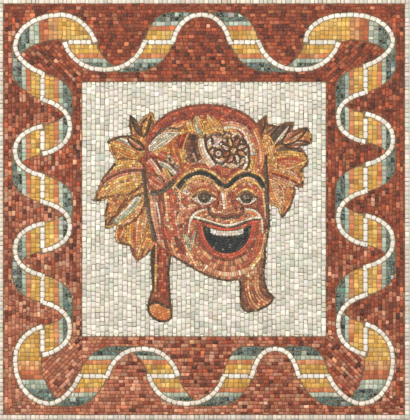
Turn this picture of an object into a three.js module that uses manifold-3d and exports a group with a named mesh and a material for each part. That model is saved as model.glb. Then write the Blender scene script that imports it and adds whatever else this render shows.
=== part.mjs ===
// A wall mosaic of marble tesserae set in a mortar slab: a white edge row, a red ground with a wavy
// folded ribbon, and a white field with a leaf-crowned theatre mask. The panel stands upright, its face
// towards -Y. Flat outlines are drawn as (u, v): u runs right along +X and v runs up along +Z, both from
// the panel's centre. Lengths are in millimetres.
import * as THREE from "three";
import { mergeVertices } from "three/addons/utils/BufferGeometryUtils.js";
import Module from "manifold-3d";

const wasm = await Module();
wasm.setup();

// Panel
const panelWidth = 856;
const panelHeight = 876;
const slabThickness = 18;
const stoneThickness = 8;
const joint = 1;
const edgeRowWidth = 9.5;
const fieldWidth = 508;
const fieldHeight = 530;

// Ribbon: a band round the panel whose white line snakes from strand to strand
const bandU = 336.5;
const bandV = 348;
const bandHalf = 62;
const lineWidth = 9;
const quarterSteps = 5;
const stripeEdges = [24, 34, 43];
const cornerStripeEdges = [35, 52, 71, 93];
const grooveDepth = 2;

// Each strand crosses its band's centre line between two places: the edge that carries the line on the
// outer half of the band, then the edge that carries it on the inner half.
const strands = {
  left: [[283, 228], [173, 115], [70, 15], [-30, -87], [-138, -194], [-244, -304]],
  bottom: [[-260, -202], [-115, -54], [41, 100], [260, 197]],
  right: [[-239, -303], [-120, -179], [-13, -74], [93, 37], [199, 140], [299, 243]],
  top: [[211, 281], [54, 114], [-65, -124], [-226, -291]],
};

// How a curve rounds from the centre line to its tip: the power of its distance out and that of its
// distance along. Two and two make an ellipse; less makes a slacker curve.
const ellipseShape = [2, 2];
const waveShape = [1.35, 2.4];
const slackShape = [1.25, 1.8];

// The loop round each corner starts on its lead band and ends on its end band. The tips are how far along
// each band the line touches the band's outer edge.
const corners = [
  { lead: "top", leadAt: "last", leadTip: -298, leadShape: [1.3, 2], end: "left", endAt: "first", endTip: 340 },
  { lead: "top", leadAt: "first", leadTip: 308, leadShape: [2, 2.5], end: "right", endAt: "last", endTip: 350 },
  { lead: "left", leadAt: "last", leadTip: -317, leadShape: waveShape, end: "bottom", endAt: "first", endTip: -323 },
  { lead: "right", leadAt: "first", leadTip: -316, leadShape: waveShape, end: "bottom", endAt: "last", endTip: 328 },
];

// Mask
const headKnots = [
  [0, 219], [70, 207], [112, 175], [128, 110], [133, 30], [137, -35], [122, -95], [92, -135],
  [52, -150], [5, -138], [-40, -113], [-76, -90], [-108, -52], [-118, 20], [-122, 95], [-116, 160], [-70, 203],
];
const filletArch = { centre: [2, 60], half: [110, 127] };
const curlsArch = { centre: [2, 50], half: [94, 106] };
const hairline = [[-150, 62], [-60, 84], [20, 96], [90, 86], [150, 64]];
const faceFoot = -170;
const jawArch = { centre: [52, -80], half: [78, 80] };
const browPath = [[-54, 44], [-38, 64], [-10, 76], [20, 66], [44, 46], [66, 63], [90, 72], [112, 64], [124, 46]];
const browWidth = 8;
const eyes = { left: { centre: [0, 25], half: [24, 13] }, right: { centre: [88, 25], half: [20, 13] } };
const mouth = { centre: [48, -34], half: 50, sag: 12, depth: 58 };
const teethHalf = 34;
const teethHeight = 9;
const leavesLeft = [
  [-100, 160], [-109, 202], [-136, 178], [-154, 196], [-150, 153], [-200, 143], [-182, 101], [-229, 17],
  [-198, 24], [-205, -39], [-180, -30], [-183, -66], [-154, -76], [-139, -109], [-104, -74], [-80, 0],
];
const leavesRight = [
  [100, 0], [131, 16], [156, 4], [163, -19], [190, 34], [186, 50], [206, 46], [204, 83], [218, 100], [198, 132],
  [224, 138], [216, 170], [182, 160], [185, 181], [152, 172], [132, 176], [128, 195], [100, 160],
];
const leafBulge = 0.16;
const strapLeft = [
  [-107, -50], [-107, -165], [-115, -190], [-116, -216], [-92, -235], [-67, -228], [-69, -198], [-73, -131], [-70, -50],
];
const strapRight = [
  [74, -100], [75, -160], [78, -204], [92, -215], [134, -201], [146, -183], [133, -171], [125, -131], [128, -80],
];

const colours = {
  mortar: 0x9a9184,
  white: 0xe9e2cc,
  red: 0x9a6248,
  ribbon: 0xd2a35e,
  crown: 0xa2503a,
  yellow: 0xd9a64e,
  curls: 0xa79274,
  face: 0xc0724c,
  jaw: 0xc98a62,
  dark: 0x3f4543,
  leaf: 0xcc8f52,
  strap: 0x8c4d38,
};

// ---------- Flat outlines ----------

const point = ([u, v]) => new THREE.Vector2(u, v);

// A closed smooth outline through its knots.
function smooth(knots, steps = 2) {
  const curve = new THREE.CatmullRomCurve3(knots.map(([u, v]) => new THREE.Vector3(u, v, 0)), true);
  return curve.getPoints(knots.length * steps).slice(0, -1).map((p) => new THREE.Vector2(p.x, p.y));
}

// An open smooth path through its knots.
function smoothPath(knots, steps = 2) {
  return new THREE.SplineCurve(knots.map(point)).getPoints((knots.length - 1) * steps);
}

// A closed outline whose sides all swell outwards between pointed knots, as a leaf's lobes do.
function lobed(knots, bulge) {
  const out = [];
  knots.forEach((knot, i) => {
    const start = point(knot);
    const end = point(knots[(i + 1) % knots.length]);
    const side = end.clone().sub(start);
    const middle = start.clone().add(end).multiplyScalar(0.5);
    const outward = new THREE.Vector2(-side.y, side.x).multiplyScalar(-bulge);
    const curve = new THREE.QuadraticBezierCurve(start, middle.add(outward), end);
    out.push(...curve.getPoints(2).slice(0, -1));
  });
  return out;
}

function ellipse({ centre, half }, steps = 28) {
  const turn = Array.from({ length: steps }, (_, i) => (i / steps) * 2 * Math.PI);
  return turn.map((t) => new THREE.Vector2(centre[0] + half[0] * Math.cos(t), centre[1] + half[1] * Math.sin(t)));
}

function rectangle(width, height) {
  return [[-1, -1], [1, -1], [1, 1], [-1, 1]].map(([i, j]) => new THREE.Vector2((i * width) / 2, (j * height) / 2));
}

// Two parabolas that meet in points at the corners of the eye.
function almond({ centre, half }, steps = 3) {
  const across = Array.from({ length: 2 * steps }, (_, i) => i / steps - 1);
  const lid = (sign) => across.map((x) => new THREE.Vector2(
    centre[0] + sign * half[0] * x,
    centre[1] - sign * half[1] * (1 - x * x),
  ));
  return [...lid(1), ...lid(-1)];
}

// The laughing mouth: a sagging parabola above and half an ellipse below.
function mouthOutline({ centre, half, sag, depth }, steps = 6) {
  const upper = Array.from({ length: steps }, (_, i) => 1 - (2 * i) / steps);
  const lower = Array.from({ length: 2 * steps }, (_, i) => -Math.cos((Math.PI * i) / (2 * steps)));
  return [
    ...upper.map((x) => new THREE.Vector2(centre[0] + half * x, centre[1] - sag * (1 - x * x))),
    ...lower.map((x) => new THREE.Vector2(centre[0] + half * x, centre[1] - depth * Math.sqrt(1 - x * x))),
  ];
}

// A strip of even height that hangs under the middle of the mouth's upper edge.
function teethOutline({ centre, half, sag }, steps = 6) {
  const across = Array.from({ length: steps + 1 }, (_, i) => ((2 * i) / steps - 1) * teethHalf);
  const edge = (u, drop) => new THREE.Vector2(centre[0] + u, centre[1] - sag * (1 - (u / half) ** 2) - drop);
  return [
    ...across.map((u) => edge(u, joint + teethHeight)),
    ...across.reverse().map((u) => edge(u, joint)),
  ];
}

// The outline of a strip of even width along an open path.
function strip(path, width) {
  const normals = path.map((p, i) => {
    const before = path[Math.max(i - 1, 0)];
    const after = path[Math.min(i + 1, path.length - 1)];
    const along = after.clone().sub(before).normalize();
    return new THREE.Vector2(-along.y, along.x).multiplyScalar(width / 2);
  });
  const near = path.map((p, i) => p.clone().sub(normals[i]));
  const far = path.map((p, i) => p.clone().add(normals[i]));
  return [...near, ...far.reverse()];
}

// The same outline moved outwards by a small amount, corner by corner.
function grown(outline, amount) {
  const sign = Math.sign(THREE.ShapeUtils.area(outline));
  return outline.map((p, i) => {
    const before = outline[(i + outline.length - 1) % outline.length];
    const after = outline[(i + 1) % outline.length];
    const a = p.clone().sub(before).normalize();
    const b = after.clone().sub(p).normalize();
    const outward = new THREE.Vector2(a.y + b.y, -a.x - b.x).normalize().multiplyScalar(sign);
    const lean = Math.max(0.5, outward.dot(new THREE.Vector2(a.y, -a.x).multiplyScalar(sign)));
    return p.clone().addScaledVector(outward, amount / lean);
  });
}

// ---------- Solids ----------

// Turns a shape drawn in X and Y and extruded along Z to face -Y.
const upright = new THREE.Matrix4().set(1, 0, 0, 0, 0, 0, -1, 0, 0, 1, 0, 0, 0, 0, 0, 1);

// A flat outline as a solid that reaches from one depth in front of the wall to another.
function plate(outline, back, front) {
  const made = new THREE.ExtrudeGeometry(new THREE.Shape(outline), { depth: front - back, bevelEnabled: false });
  made.translate(0, 0, back).applyMatrix4(upright);
  made.deleteAttribute("normal");
  made.deleteAttribute("uv");
  const merged = mergeVertices(made, 1e-4);
  return new wasm.Manifold(new wasm.Mesh({
    numProp: 3,
    vertProperties: merged.attributes.position.array,
    triVerts: new Uint32Array(merged.index.array),
  }));
}

const stoneFront = slabThickness + stoneThickness;
const stones = (outline) => plate(outline, slabThickness, stoneFront);
const cutter = (outline, gap = joint) => plate(grown(outline, gap), slabThickness - 1, stoneFront + 1);
const groove = (outline) => plate(outline, stoneFront - grooveDepth, stoneFront + 1);
const joined = (solids) => solids.reduce((all, one) => all.add(one));

function largest(solid) {
  return solid.decompose().sort((a, b) => b.volume() - a.volume())[0];
}

const panel = new THREE.Group();

function addPiece(name, solid, colour) {
  const { vertProperties, triVerts } = solid.getMesh();
  const geometry = new THREE.BufferGeometry();
  geometry.setAttribute("position", new THREE.BufferAttribute(new Float32Array(vertProperties), 3));
  geometry.setIndex(new THREE.BufferAttribute(new Uint32Array(triVerts), 1));
  const flat = geometry.toNonIndexed();
  flat.computeVertexNormals();
  const material = new THREE.MeshStandardMaterial({ color: colours[colour], roughness: 0.6, metalness: 0 });
  const mesh = new THREE.Mesh(flat, material);
  mesh.name = name;
  panel.add(mesh);
}

// Lays areas from the bottom of the list up. An area keeps only what no later area covers, and the space
// that they all cover comes back with them.
function layAreas(areas) {
  let cover = null;
  const laid = [...areas].reverse().map(({ name, colour, solid, cut, grooves }) => {
    const open = cover ? solid.subtract(cover) : solid;
    cover = cover ? cover.add(cut) : cut;
    return { name, colour, solid: grooves ? largest(open).subtract(grooves) : largest(open) };
  });
  return { laid: laid.reverse(), cover };
}

// ---------- Ribbon ----------

// Each band runs along one side of the panel. A place on it is how far along the side it lies and how
// far out from the band's centre line.
const bands = {
  left: (along, out) => new THREE.Vector2(-bandU - out, along),
  right: (along, out) => new THREE.Vector2(bandU + out, along),
  top: (along, out) => new THREE.Vector2(along, bandV + out),
  bottom: (along, out) => new THREE.Vector2(along, -bandV - out),
};

// A quarter turn about a centre, from a place on the centre line to the curve's tip.
function quarterCurve(centre, from, tip, [outPower, alongPower]) {
  const start = from.clone().sub(centre);
  const finish = tip.clone().sub(centre);
  return Array.from({ length: quarterSteps + 1 }, (_, i) => {
    const out = Math.sin((i / quarterSteps) * (Math.PI / 2));
    const along = Math.pow(Math.max(1 - Math.pow(out, outPower), 0), 1 / alongPower);
    return centre.clone().addScaledVector(start, along).addScaledVector(finish, out);
  });
}

// The sweep that carries a curve across its strand, from the edge it lies on to the other one.
function strandSweep(side, from, to) {
  return bands[side](to, 0).sub(bands[side](from, 0));
}

// A face of the ribbon: a curve and its copy carried along the band.
function sweptOutline(curve, sweep) {
  return [...curve, ...curve.map((p) => p.clone().add(sweep)).reverse()];
}

// Shallow grooves that part a face's colour stripes, at distances out from a band's centre line.
function stripeGrooves(side, distances) {
  const reach = panelHeight / 2;
  return joined(distances.map((d) => groove([
    bands[side](-reach, d - joint / 2),
    bands[side](reach, d - joint / 2),
    bands[side](reach, d + joint / 2),
    bands[side](-reach, d + joint / 2),
  ])));
}

// The arc that joins two neighbouring strands: a face for each of them and a stretch of the line.
function bandArc(side, number, outer) {
  const place = bands[side];
  const pair = [strands[side][number - 1], strands[side][number]];
  const near = outer ? 0 : 1;
  const direction = outer ? 1 : -1;
  const middle = (pair[0][near] + pair[1][near]) / 2;
  const halfArc = (strand, reach) =>
    quarterCurve(place(middle, 0), place(strand[near], 0), place(middle, direction * reach), waveShape);
  const faces = pair.map((strand, i) => {
    const width = strand[1 - near] - strand[near];
    return {
      name: `ribbon_${side}_${number + i}_${outer ? "outer" : "inner"}`,
      outline: sweptOutline(halfArc(strand, bandHalf), strandSweep(side, strand[near], strand[1 - near])),
      inFront: Math.sign(width) === Math.sign(strand[near] - middle),
      grooves: stripeGrooves(side, stripeEdges.map((d) => direction * d)),
    };
  });
  const reach = bandHalf - lineWidth / 2;
  return { faces, line: [...halfArc(pair[0], reach), ...halfArc(pair[1], reach).reverse().slice(1)] };
}

// The loop round a corner: one big face that starts on the lead band and folds round the corner, the face
// of the end band's first strand in front of it, and a stretch of the line.
function cornerLoop({ lead, leadAt, leadTip, leadShape, end, endAt, endTip }) {
  const pick = (side, at) => (at === "first" ? 1 : strands[side].length);
  const leadNumber = pick(lead, leadAt);
  const endNumber = pick(end, endAt);
  const leadStrand = strands[lead][leadNumber - 1];
  const endStrand = strands[end][endNumber - 1];
  const turnCentre = lead === "top" ? new THREE.Vector2(leadTip, endTip) : new THREE.Vector2(endTip, leadTip);
  const curves = (reach) => {
    const leadTouch = bands[lead](leadTip, reach);
    const endTouch = bands[end](endTip, reach);
    return [
      quarterCurve(bands[lead](leadTip, 0), bands[lead](leadStrand[0], 0), leadTouch, leadShape),
      quarterCurve(turnCentre, leadTouch, endTouch, ellipseShape).slice(1),
      quarterCurve(bands[end](endTip, 0), bands[end](endStrand[0], 0), endTouch, slackShape).reverse(),
    ];
  };
  const [rise, turn, fall] = curves(bandHalf);
  const sweep = strandSweep(end, endStrand[0], endStrand[1]);
  const close = bands[lead](leadStrand[1], 0);
  const towardsCorner = bands[lead](leadTip, 0).sub(bands[lead](leadStrand[0], 0));
  const carried = [...rise, ...turn].map((p) => p.clone().add(sweep));
  const pastClose = carried.filter((p) => p.clone().sub(close).dot(towardsCorner) > 0);
  const faces = [
    {
      name: `ribbon_${lead}_${leadNumber}_outer`,
      outline: [...rise, ...turn, ...pastClose.reverse(), close],
      inFront: false,
      grooves: stripeGrooves(end, cornerStripeEdges.map((d) => bandHalf - d)),
    },
    {
      name: `ribbon_${end}_${endNumber}_outer`,
      outline: sweptOutline(fall, sweep),
      inFront: true,
      grooves: stripeGrooves(end, stripeEdges),
    },
  ];
  const [lineRise, lineTurn, lineFall] = curves(bandHalf - lineWidth / 2);
  return { faces, line: [...lineRise, ...lineTurn, ...lineFall.slice(1)] };
}

// The straight stretch of the line along the middle of a strand.
function centreBar(side, [from, to], width) {
  const half = width / 2;
  const low = Math.min(from, to) - half;
  const high = Math.max(from, to) + half;
  return [bands[side](low, -half), bands[side](high, -half), bands[side](high, half), bands[side](low, half)];
}

function buildRibbonAndGround() {
  const arcs = Object.keys(strands).flatMap((side) =>
    strands[side].slice(1).map((_, i) => bandArc(side, i + 1, i % 2 === 1)));
  const stretches = [...arcs, ...corners.map(cornerLoop)];
  const faces = stretches.flatMap((stretch) => stretch.faces).sort((a, b) => a.inFront - b.inFront);
  const lineOutlines = (width) => [
    ...stretches.map((stretch) => strip(stretch.line, width)),
    ...Object.keys(strands).flatMap((side) => strands[side].map((strand) => centreBar(side, strand, width))),
  ];
  const { laid, cover } = layAreas([
    ...faces.map(({ name, outline, grooves }) => ({
      name, grooves, colour: "ribbon", solid: stones(outline), cut: cutter(outline),
    })),
    {
      name: "ribbon_white_line",
      colour: "white",
      solid: joined(lineOutlines(lineWidth).map(stones)),
      cut: joined(lineOutlines(lineWidth + 2 * joint).map((outline) => cutter(outline, 0))),
    },
  ]);
  laid.forEach(({ name, solid, colour }) => addPiece(name, solid, colour));

  const inset = 2 * (edgeRowWidth + joint);
  const ground = stones(rectangle(panelWidth - inset, panelHeight - inset))
    .subtract(cutter(rectangle(fieldWidth, fieldHeight)))
    .subtract(cover);
  const [outside, inside] = ground.decompose().sort((a, b) => b.volume() - a.volume());
  addPiece("ground_outer", outside, "red");
  addPiece("ground_inner", inside, "red");
}

// ---------- Mask and white field ----------

function buildMaskAndField() {
  const head = smooth(headKnots);
  const headSolid = stones(head);
  const headCut = cutter(head);
  const faceOutline = [...smoothPath(hairline), point([150, faceFoot]), point([-150, faceFoot])];
  const area = (name, colour, outline) => ({ name, colour, solid: stones(outline), cut: cutter(outline) });
  const onHead = (name, colour, outline) => ({
    name, colour, solid: stones(outline).intersect(headSolid), cut: cutter(outline).intersect(headCut),
  });
  const { laid, cover } = layAreas([
    area("strap_left", "strap", smooth(strapLeft)),
    area("strap_right", "strap", smooth(strapRight)),
    area("leaves_left", "leaf", lobed(leavesLeft, leafBulge)),
    area("leaves_right", "leaf", lobed(leavesRight, leafBulge)),
    area("mask_crown", "crown", head),
    onHead("mask_fillet", "yellow", ellipse(filletArch)),
    onHead("mask_curls", "curls", ellipse(curlsArch)),
    onHead("mask_face", "face", faceOutline),
    onHead("mask_jaw", "jaw", ellipse(jawArch)),
    area("mask_brows", "dark", strip(smoothPath(browPath), browWidth)),
    area("mask_eye_left", "white", almond(eyes.left)),
    area("mask_eye_right", "white", almond(eyes.right)),
    area("mask_mouth", "dark", mouthOutline(mouth)),
    area("mask_teeth", "white", teethOutline(mouth)),
  ]);
  laid.forEach(({ name, solid, colour }) => addPiece(name, solid, colour));
  const field = stones(rectangle(fieldWidth, fieldHeight)).subtract(cover);
  addPiece("white_field", largest(field), "white");
}

// ---------- Slab and edge row ----------

function buildSlabAndEdge() {
  addPiece("mortar_slab", plate(rectangle(panelWidth, panelHeight), 0, slabThickness), "mortar");
  const opening = rectangle(panelWidth - 2 * edgeRowWidth, panelHeight - 2 * edgeRowWidth);
  const edgeRow = stones(rectangle(panelWidth, panelHeight)).subtract(cutter(opening, 0));
  addPiece("edge_row", edgeRow, "white");
}

buildSlabAndEdge();
buildRibbonAndGround();
buildMaskAndField();

export default panel;
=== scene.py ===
"""The looks of a wall mosaic: marble tesserae in mortar, laid as a wavy folded ribbon on a brick-red ground
round a white field with a leaf-crowned theatre mask.

The face of the panel is worked out in millimetres from its centre as (u, v): u runs right along +X and v up
along +Z. The tesserae are laid in rows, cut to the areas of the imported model, and stand a little proud of the
mortar between them.
"""

import logging
from dataclasses import dataclass, field
from enum import Enum

import bpy
import numpy as np
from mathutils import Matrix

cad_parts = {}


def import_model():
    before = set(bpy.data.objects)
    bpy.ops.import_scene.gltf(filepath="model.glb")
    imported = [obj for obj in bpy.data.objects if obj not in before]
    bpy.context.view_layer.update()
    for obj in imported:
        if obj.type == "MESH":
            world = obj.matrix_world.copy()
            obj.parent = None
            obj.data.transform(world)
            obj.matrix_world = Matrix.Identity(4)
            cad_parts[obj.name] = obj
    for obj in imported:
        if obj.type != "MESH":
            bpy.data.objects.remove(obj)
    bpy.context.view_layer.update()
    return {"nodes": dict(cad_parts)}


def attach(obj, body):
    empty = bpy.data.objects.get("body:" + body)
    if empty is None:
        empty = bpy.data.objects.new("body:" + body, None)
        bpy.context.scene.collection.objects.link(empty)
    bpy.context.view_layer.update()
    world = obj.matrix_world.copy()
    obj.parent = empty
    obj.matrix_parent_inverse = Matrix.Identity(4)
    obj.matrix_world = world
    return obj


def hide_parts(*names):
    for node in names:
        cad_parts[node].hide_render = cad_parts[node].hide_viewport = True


Array = np.ndarray
Colour = tuple[float, float, float]
Point = tuple[float, float]
LOG = logging.getLogger("mosaic_panel")
MM = 0.001


# ---------- The panel's own sizes ----------


@dataclass(frozen=True)
class Layout:
    """Sizes that the parts of the panel share, in millimetres.

    A front is measured from the slab's back. band_u and band_v are how far the ribbon's centre line lies from
    the panel's centre, sideways and upwards, and band_half is half the ribbon's width.
    """

    half_width: float = 428.0
    half_height: float = 438.0
    slab_front: float = 18.0
    stone_front: float = 26.0
    mortar_front: float = 25.0
    edge_row: float = 9.5
    field_half_width: float = 254.0
    field_half_height: float = 265.0
    joint: float = 0.6
    band_u: float = 336.5
    band_v: float = 348.0
    band_half: float = 62.0
    line_width: float = 9.0


LAYOUT = Layout()


# ---------- Raster of the panel's face ----------


@dataclass(frozen=True)
class Canvas:
    """A fine square raster over the panel's face. A mask is a boolean array of it, rows upwards.

    The offset keeps its samples off the round distances that outlines run along.
    """

    half_width: float = LAYOUT.half_width
    half_height: float = LAYOUT.half_height
    step: float = 0.5
    offset: float = 0.2371

    @property
    def shape(self) -> tuple[int, int]:
        """Rows and columns."""
        return int(2 * self.half_height / self.step), int(2 * self.half_width / self.step)

    @property
    def grid(self) -> tuple[Array, Array]:
        """The places of the samples.

        Returns:
            The u of every column as one row, and the v of every row as one column.
        """
        rows, columns = self.shape
        u = np.arange(columns) * self.step + self.offset - self.half_width
        v = np.arange(rows) * self.step + self.offset - self.half_height
        return u[None, :], v[:, None]

    def fill(self, edges: Array) -> Array:
        """Fills closed outlines by the even and odd rule.

        A sample lies inside if an odd number of edges cross its raster row to the left of it. An edge that
        two outlines share is counted twice and so drops out.

        Args:
            edges: rows of (u0, v0, u1, v1), in any order.

        Returns:
            The mask of the samples inside.
        """
        rows, columns = self.shape
        rising = edges[:, 1] <= edges[:, 3]
        edges = np.where(rising[:, None], edges, edges[:, [2, 3, 0, 1]])
        lift = self.half_height - self.offset
        ends = np.clip(np.ceil((edges[:, [1, 3]] + lift) / self.step), 0, rows).astype(int)
        count = ends[:, 1] - ends[:, 0]
        which = np.repeat(np.arange(len(edges)), count)
        row = np.arange(count.sum()) - np.repeat(np.cumsum(count) - count, count) + ends[which, 0]
        u0, v0, u1, v1 = edges[which].T
        u = u0 + (u1 - u0) * (row * self.step - lift - v0) / (v1 - v0)
        column = np.clip(np.ceil((u + self.half_width - self.offset) / self.step), 0, columns).astype(int)
        crossings = np.bincount(row * (columns + 1) + column, minlength=rows * (columns + 1))
        passed = np.cumsum(crossings.reshape(rows, columns + 1), axis=1)
        return (passed[:, :-1] % 2).astype(bool)

    def fill_cells(self, cells: Array) -> Array:
        """The mask inside cells of points (n, corners, 2); sides that two cells share drop out."""
        edges = np.concatenate([cells, np.roll(cells, -1, axis=1)], axis=2)
        return self.fill(edges.reshape(-1, 4))

    def fill_outline(self, outline: Array) -> Array:
        """The mask inside one closed outline of points (n, 2)."""
        return self.fill_cells(np.asarray(outline, float)[None])

    def sample(self, mask: Array, points: Array) -> Array:
        """Reads a mask at points. Points off the panel read as outside.

        Args:
            mask: an array of the raster's shape, of any kind of value.
            points: points in an array of any shape (..., 2).

        Returns:
            The value of the sample nearest to each point, (...).
        """
        rows, columns = self.shape
        column = np.rint((points[..., 0] + self.half_width - self.offset) / self.step).astype(int)
        row = np.rint((points[..., 1] + self.half_height - self.offset) / self.step).astype(int)
        on_panel = (column >= 0) & (column < columns) & (row >= 0) & (row < rows)
        found = mask[np.clip(row, 0, rows - 1), np.clip(column, 0, columns - 1)]
        return np.where(on_panel, found, 0).astype(mask.dtype)


PANEL = Canvas()
FIELD = Canvas(LAYOUT.field_half_width, LAYOUT.field_half_height)


@dataclass(frozen=True)
class PackedModel:
    """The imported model's nodes, read for the areas that they cover."""

    nodes: dict[str, bpy.types.Object]

    def front_faces(self, node: str) -> Array:
        """The triangles of a node that face the front, found by the lean of their normals.

        Args:
            node: the node's name.

        Returns:
            Their corners in millimetres, (n, 3, 2).
        """
        mesh = self.nodes[node].data
        points = np.empty(3 * len(mesh.vertices), np.float32)
        mesh.vertices.foreach_get("co", points)
        mesh.calc_loop_triangles()
        index = np.empty(3 * len(mesh.loop_triangles), np.int32)
        mesh.loop_triangles.foreach_get("vertices", index)
        corners = points.reshape(-1, 3)[index.reshape(-1, 3)].astype(float)
        normal = np.cross(corners[:, 1] - corners[:, 0], corners[:, 2] - corners[:, 0])
        least_facing = 0.9
        facing = normal[:, 1] < -least_facing * np.linalg.norm(normal, axis=1)
        return corners[facing][:, :, [0, 2]] / MM

    def area(self, canvas: Canvas, *nodes: str) -> Array:
        """What some nodes cover, seen from the front.

        Args:
            canvas: the raster to work on.
            nodes: the nodes' names.

        Returns:
            The mask of their joined areas.
        """
        covered = np.zeros(canvas.shape, bool)
        for node in nodes:
            covered |= canvas.fill_cells(self.front_faces(node))
        return covered

    def outline(self, node: str, hole: bool = False) -> Array:
        """The outer outline of a node's front counter-clockwise, or its largest hole's clockwise.

        A side of a front triangle lies on an outline if no other triangle runs along it the other way.
        Each such side leads to the next one, and the walk along them closes.

        Args:
            node: the node's name.
            hole: whether the largest hole is wanted.

        Returns:
            The outline's points, (n, 2).
        """
        corners = np.round(self.front_faces(node), 2)
        points, index = np.unique(corners.reshape(-1, 2), axis=0, return_inverse=True)
        index = index.reshape(-1, 3)
        sides = np.stack([index, np.roll(index, -1, axis=1)], axis=2).reshape(-1, 2)
        key = sides[:, 0] * len(points) + sides[:, 1]
        outer = sides[~np.isin(sides[:, 1] * len(points) + sides[:, 0], key)]
        following = dict(outer.tolist())
        loops = []
        while following:
            first, place = following.popitem()
            loop = [first]
            while place in following:
                loop.append(place)
                place = following.pop(place)
            loops.append(points[loop])
        return max(loops, key=lambda loop: signed_area(loop[None])[0] * (-1 if hole else 1))


def signed_area(cells: Array) -> Array:
    """The area inside each outline of (n, corners, 2), positive if it runs counter-clockwise."""
    after = np.roll(cells, -1, axis=1)
    return 0.5 * np.sum(cells[..., 0] * after[..., 1] - cells[..., 1] * after[..., 0], axis=1)


# ---------- Colours of stone ----------


def linear(colour: Array) -> Array:
    """Display colours from 0 to 255 as linear light from 0 to 1."""
    share = np.clip(np.asarray(colour, float) / 255, 0, 1)
    return np.where(share <= 0.04045, share / 12.92, ((share + 0.055) / 1.055) ** 2.4)


def slow_noise(points: Array, scale: float, seed: int = 0) -> Array:
    """A smooth value from 0 to 1 at each point: the mean of five sine waves that run in turned directions.

    Args:
        points: points in an array of any shape (..., 2).
        scale: the usual length of a wave, in millimetres.
        seed: what fixes the waves' directions, lengths and phases.

    Returns:
        The values, (...).
    """
    waves, slowest, fastest, swing = 5, 0.6, 1.6, 0.75
    rng = np.random.default_rng(seed)
    angle, phase = rng.uniform(0, 2 * np.pi, (2, waves))
    pace = 2 * np.pi / scale * rng.uniform(slowest, fastest, waves)
    along = points[..., 0:1] * np.cos(angle) + points[..., 1:2] * np.sin(angle)
    return np.clip(0.5 + swing * np.mean(np.sin(along * pace + phase), axis=-1), 0, 0.999)


STRAYS = ((216, 160, 100), (150, 66, 50), (228, 196, 158), (98, 62, 52), (200, 112, 80), (176, 150, 120))


@dataclass(frozen=True)
class Tint:
    """The shades that tesserae are picked from.

    shades are display colours with their shares; spread is how much lightness varies from stone to stone,
    drift how far the choice follows slow patches instead of chance, patch the size of those in millimetres,
    stray the share of stones that lean half-way to another marble, and cast how much hue varies against the
    spread.
    """

    shades: tuple[Colour, ...]
    shares: tuple[float, ...] = ()
    spread: float = 0.05
    drift: float = 0.35
    patch: float = 60.0
    stray: float = 0.0
    cast: float = 0.25

    def pick(self, centres: Array, rng: np.random.Generator) -> Array:
        """Picks a colour for each stone.

        A value between chance and slow noise chooses the shade by its share, and a stray stone takes half of
        another marble. Lightness and cast then vary a little.

        Args:
            centres: the stones' middles, (n, 2).
            rng: the random source.

        Returns:
            Linear colours, (n, 3).
        """
        count = len(centres)
        shares = np.array(self.shares or (1.0,) * len(self.shades))
        chance = rng.random(count) * (1 - self.drift) + self.drift * slow_noise(centres, self.patch)
        choice = np.searchsorted(np.cumsum(shares / shares.sum()), chance).clip(0, len(shares) - 1)
        shade = np.array(self.shades, float)[choice]
        other = np.array(STRAYS, float)[rng.integers(len(STRAYS), size=count)]
        shade = np.where(rng.random((count, 1)) < self.stray, (shade + other) / 2, shade)
        light = 1 + self.spread * rng.standard_normal((count, 1))
        cast = 1 + self.cast * self.spread * rng.standard_normal((count, 3))
        return linear(shade * light * cast)


def small(*shades: Colour, spread: float = 0.09, stray: float = 0.22) -> Tint:
    """A tint of the mask's small stones, whose first shade is the commonest."""
    return Tint(shades, (3,) + (2,) * (len(shades) - 1), spread, 0.3, 26.0, stray)


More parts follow.
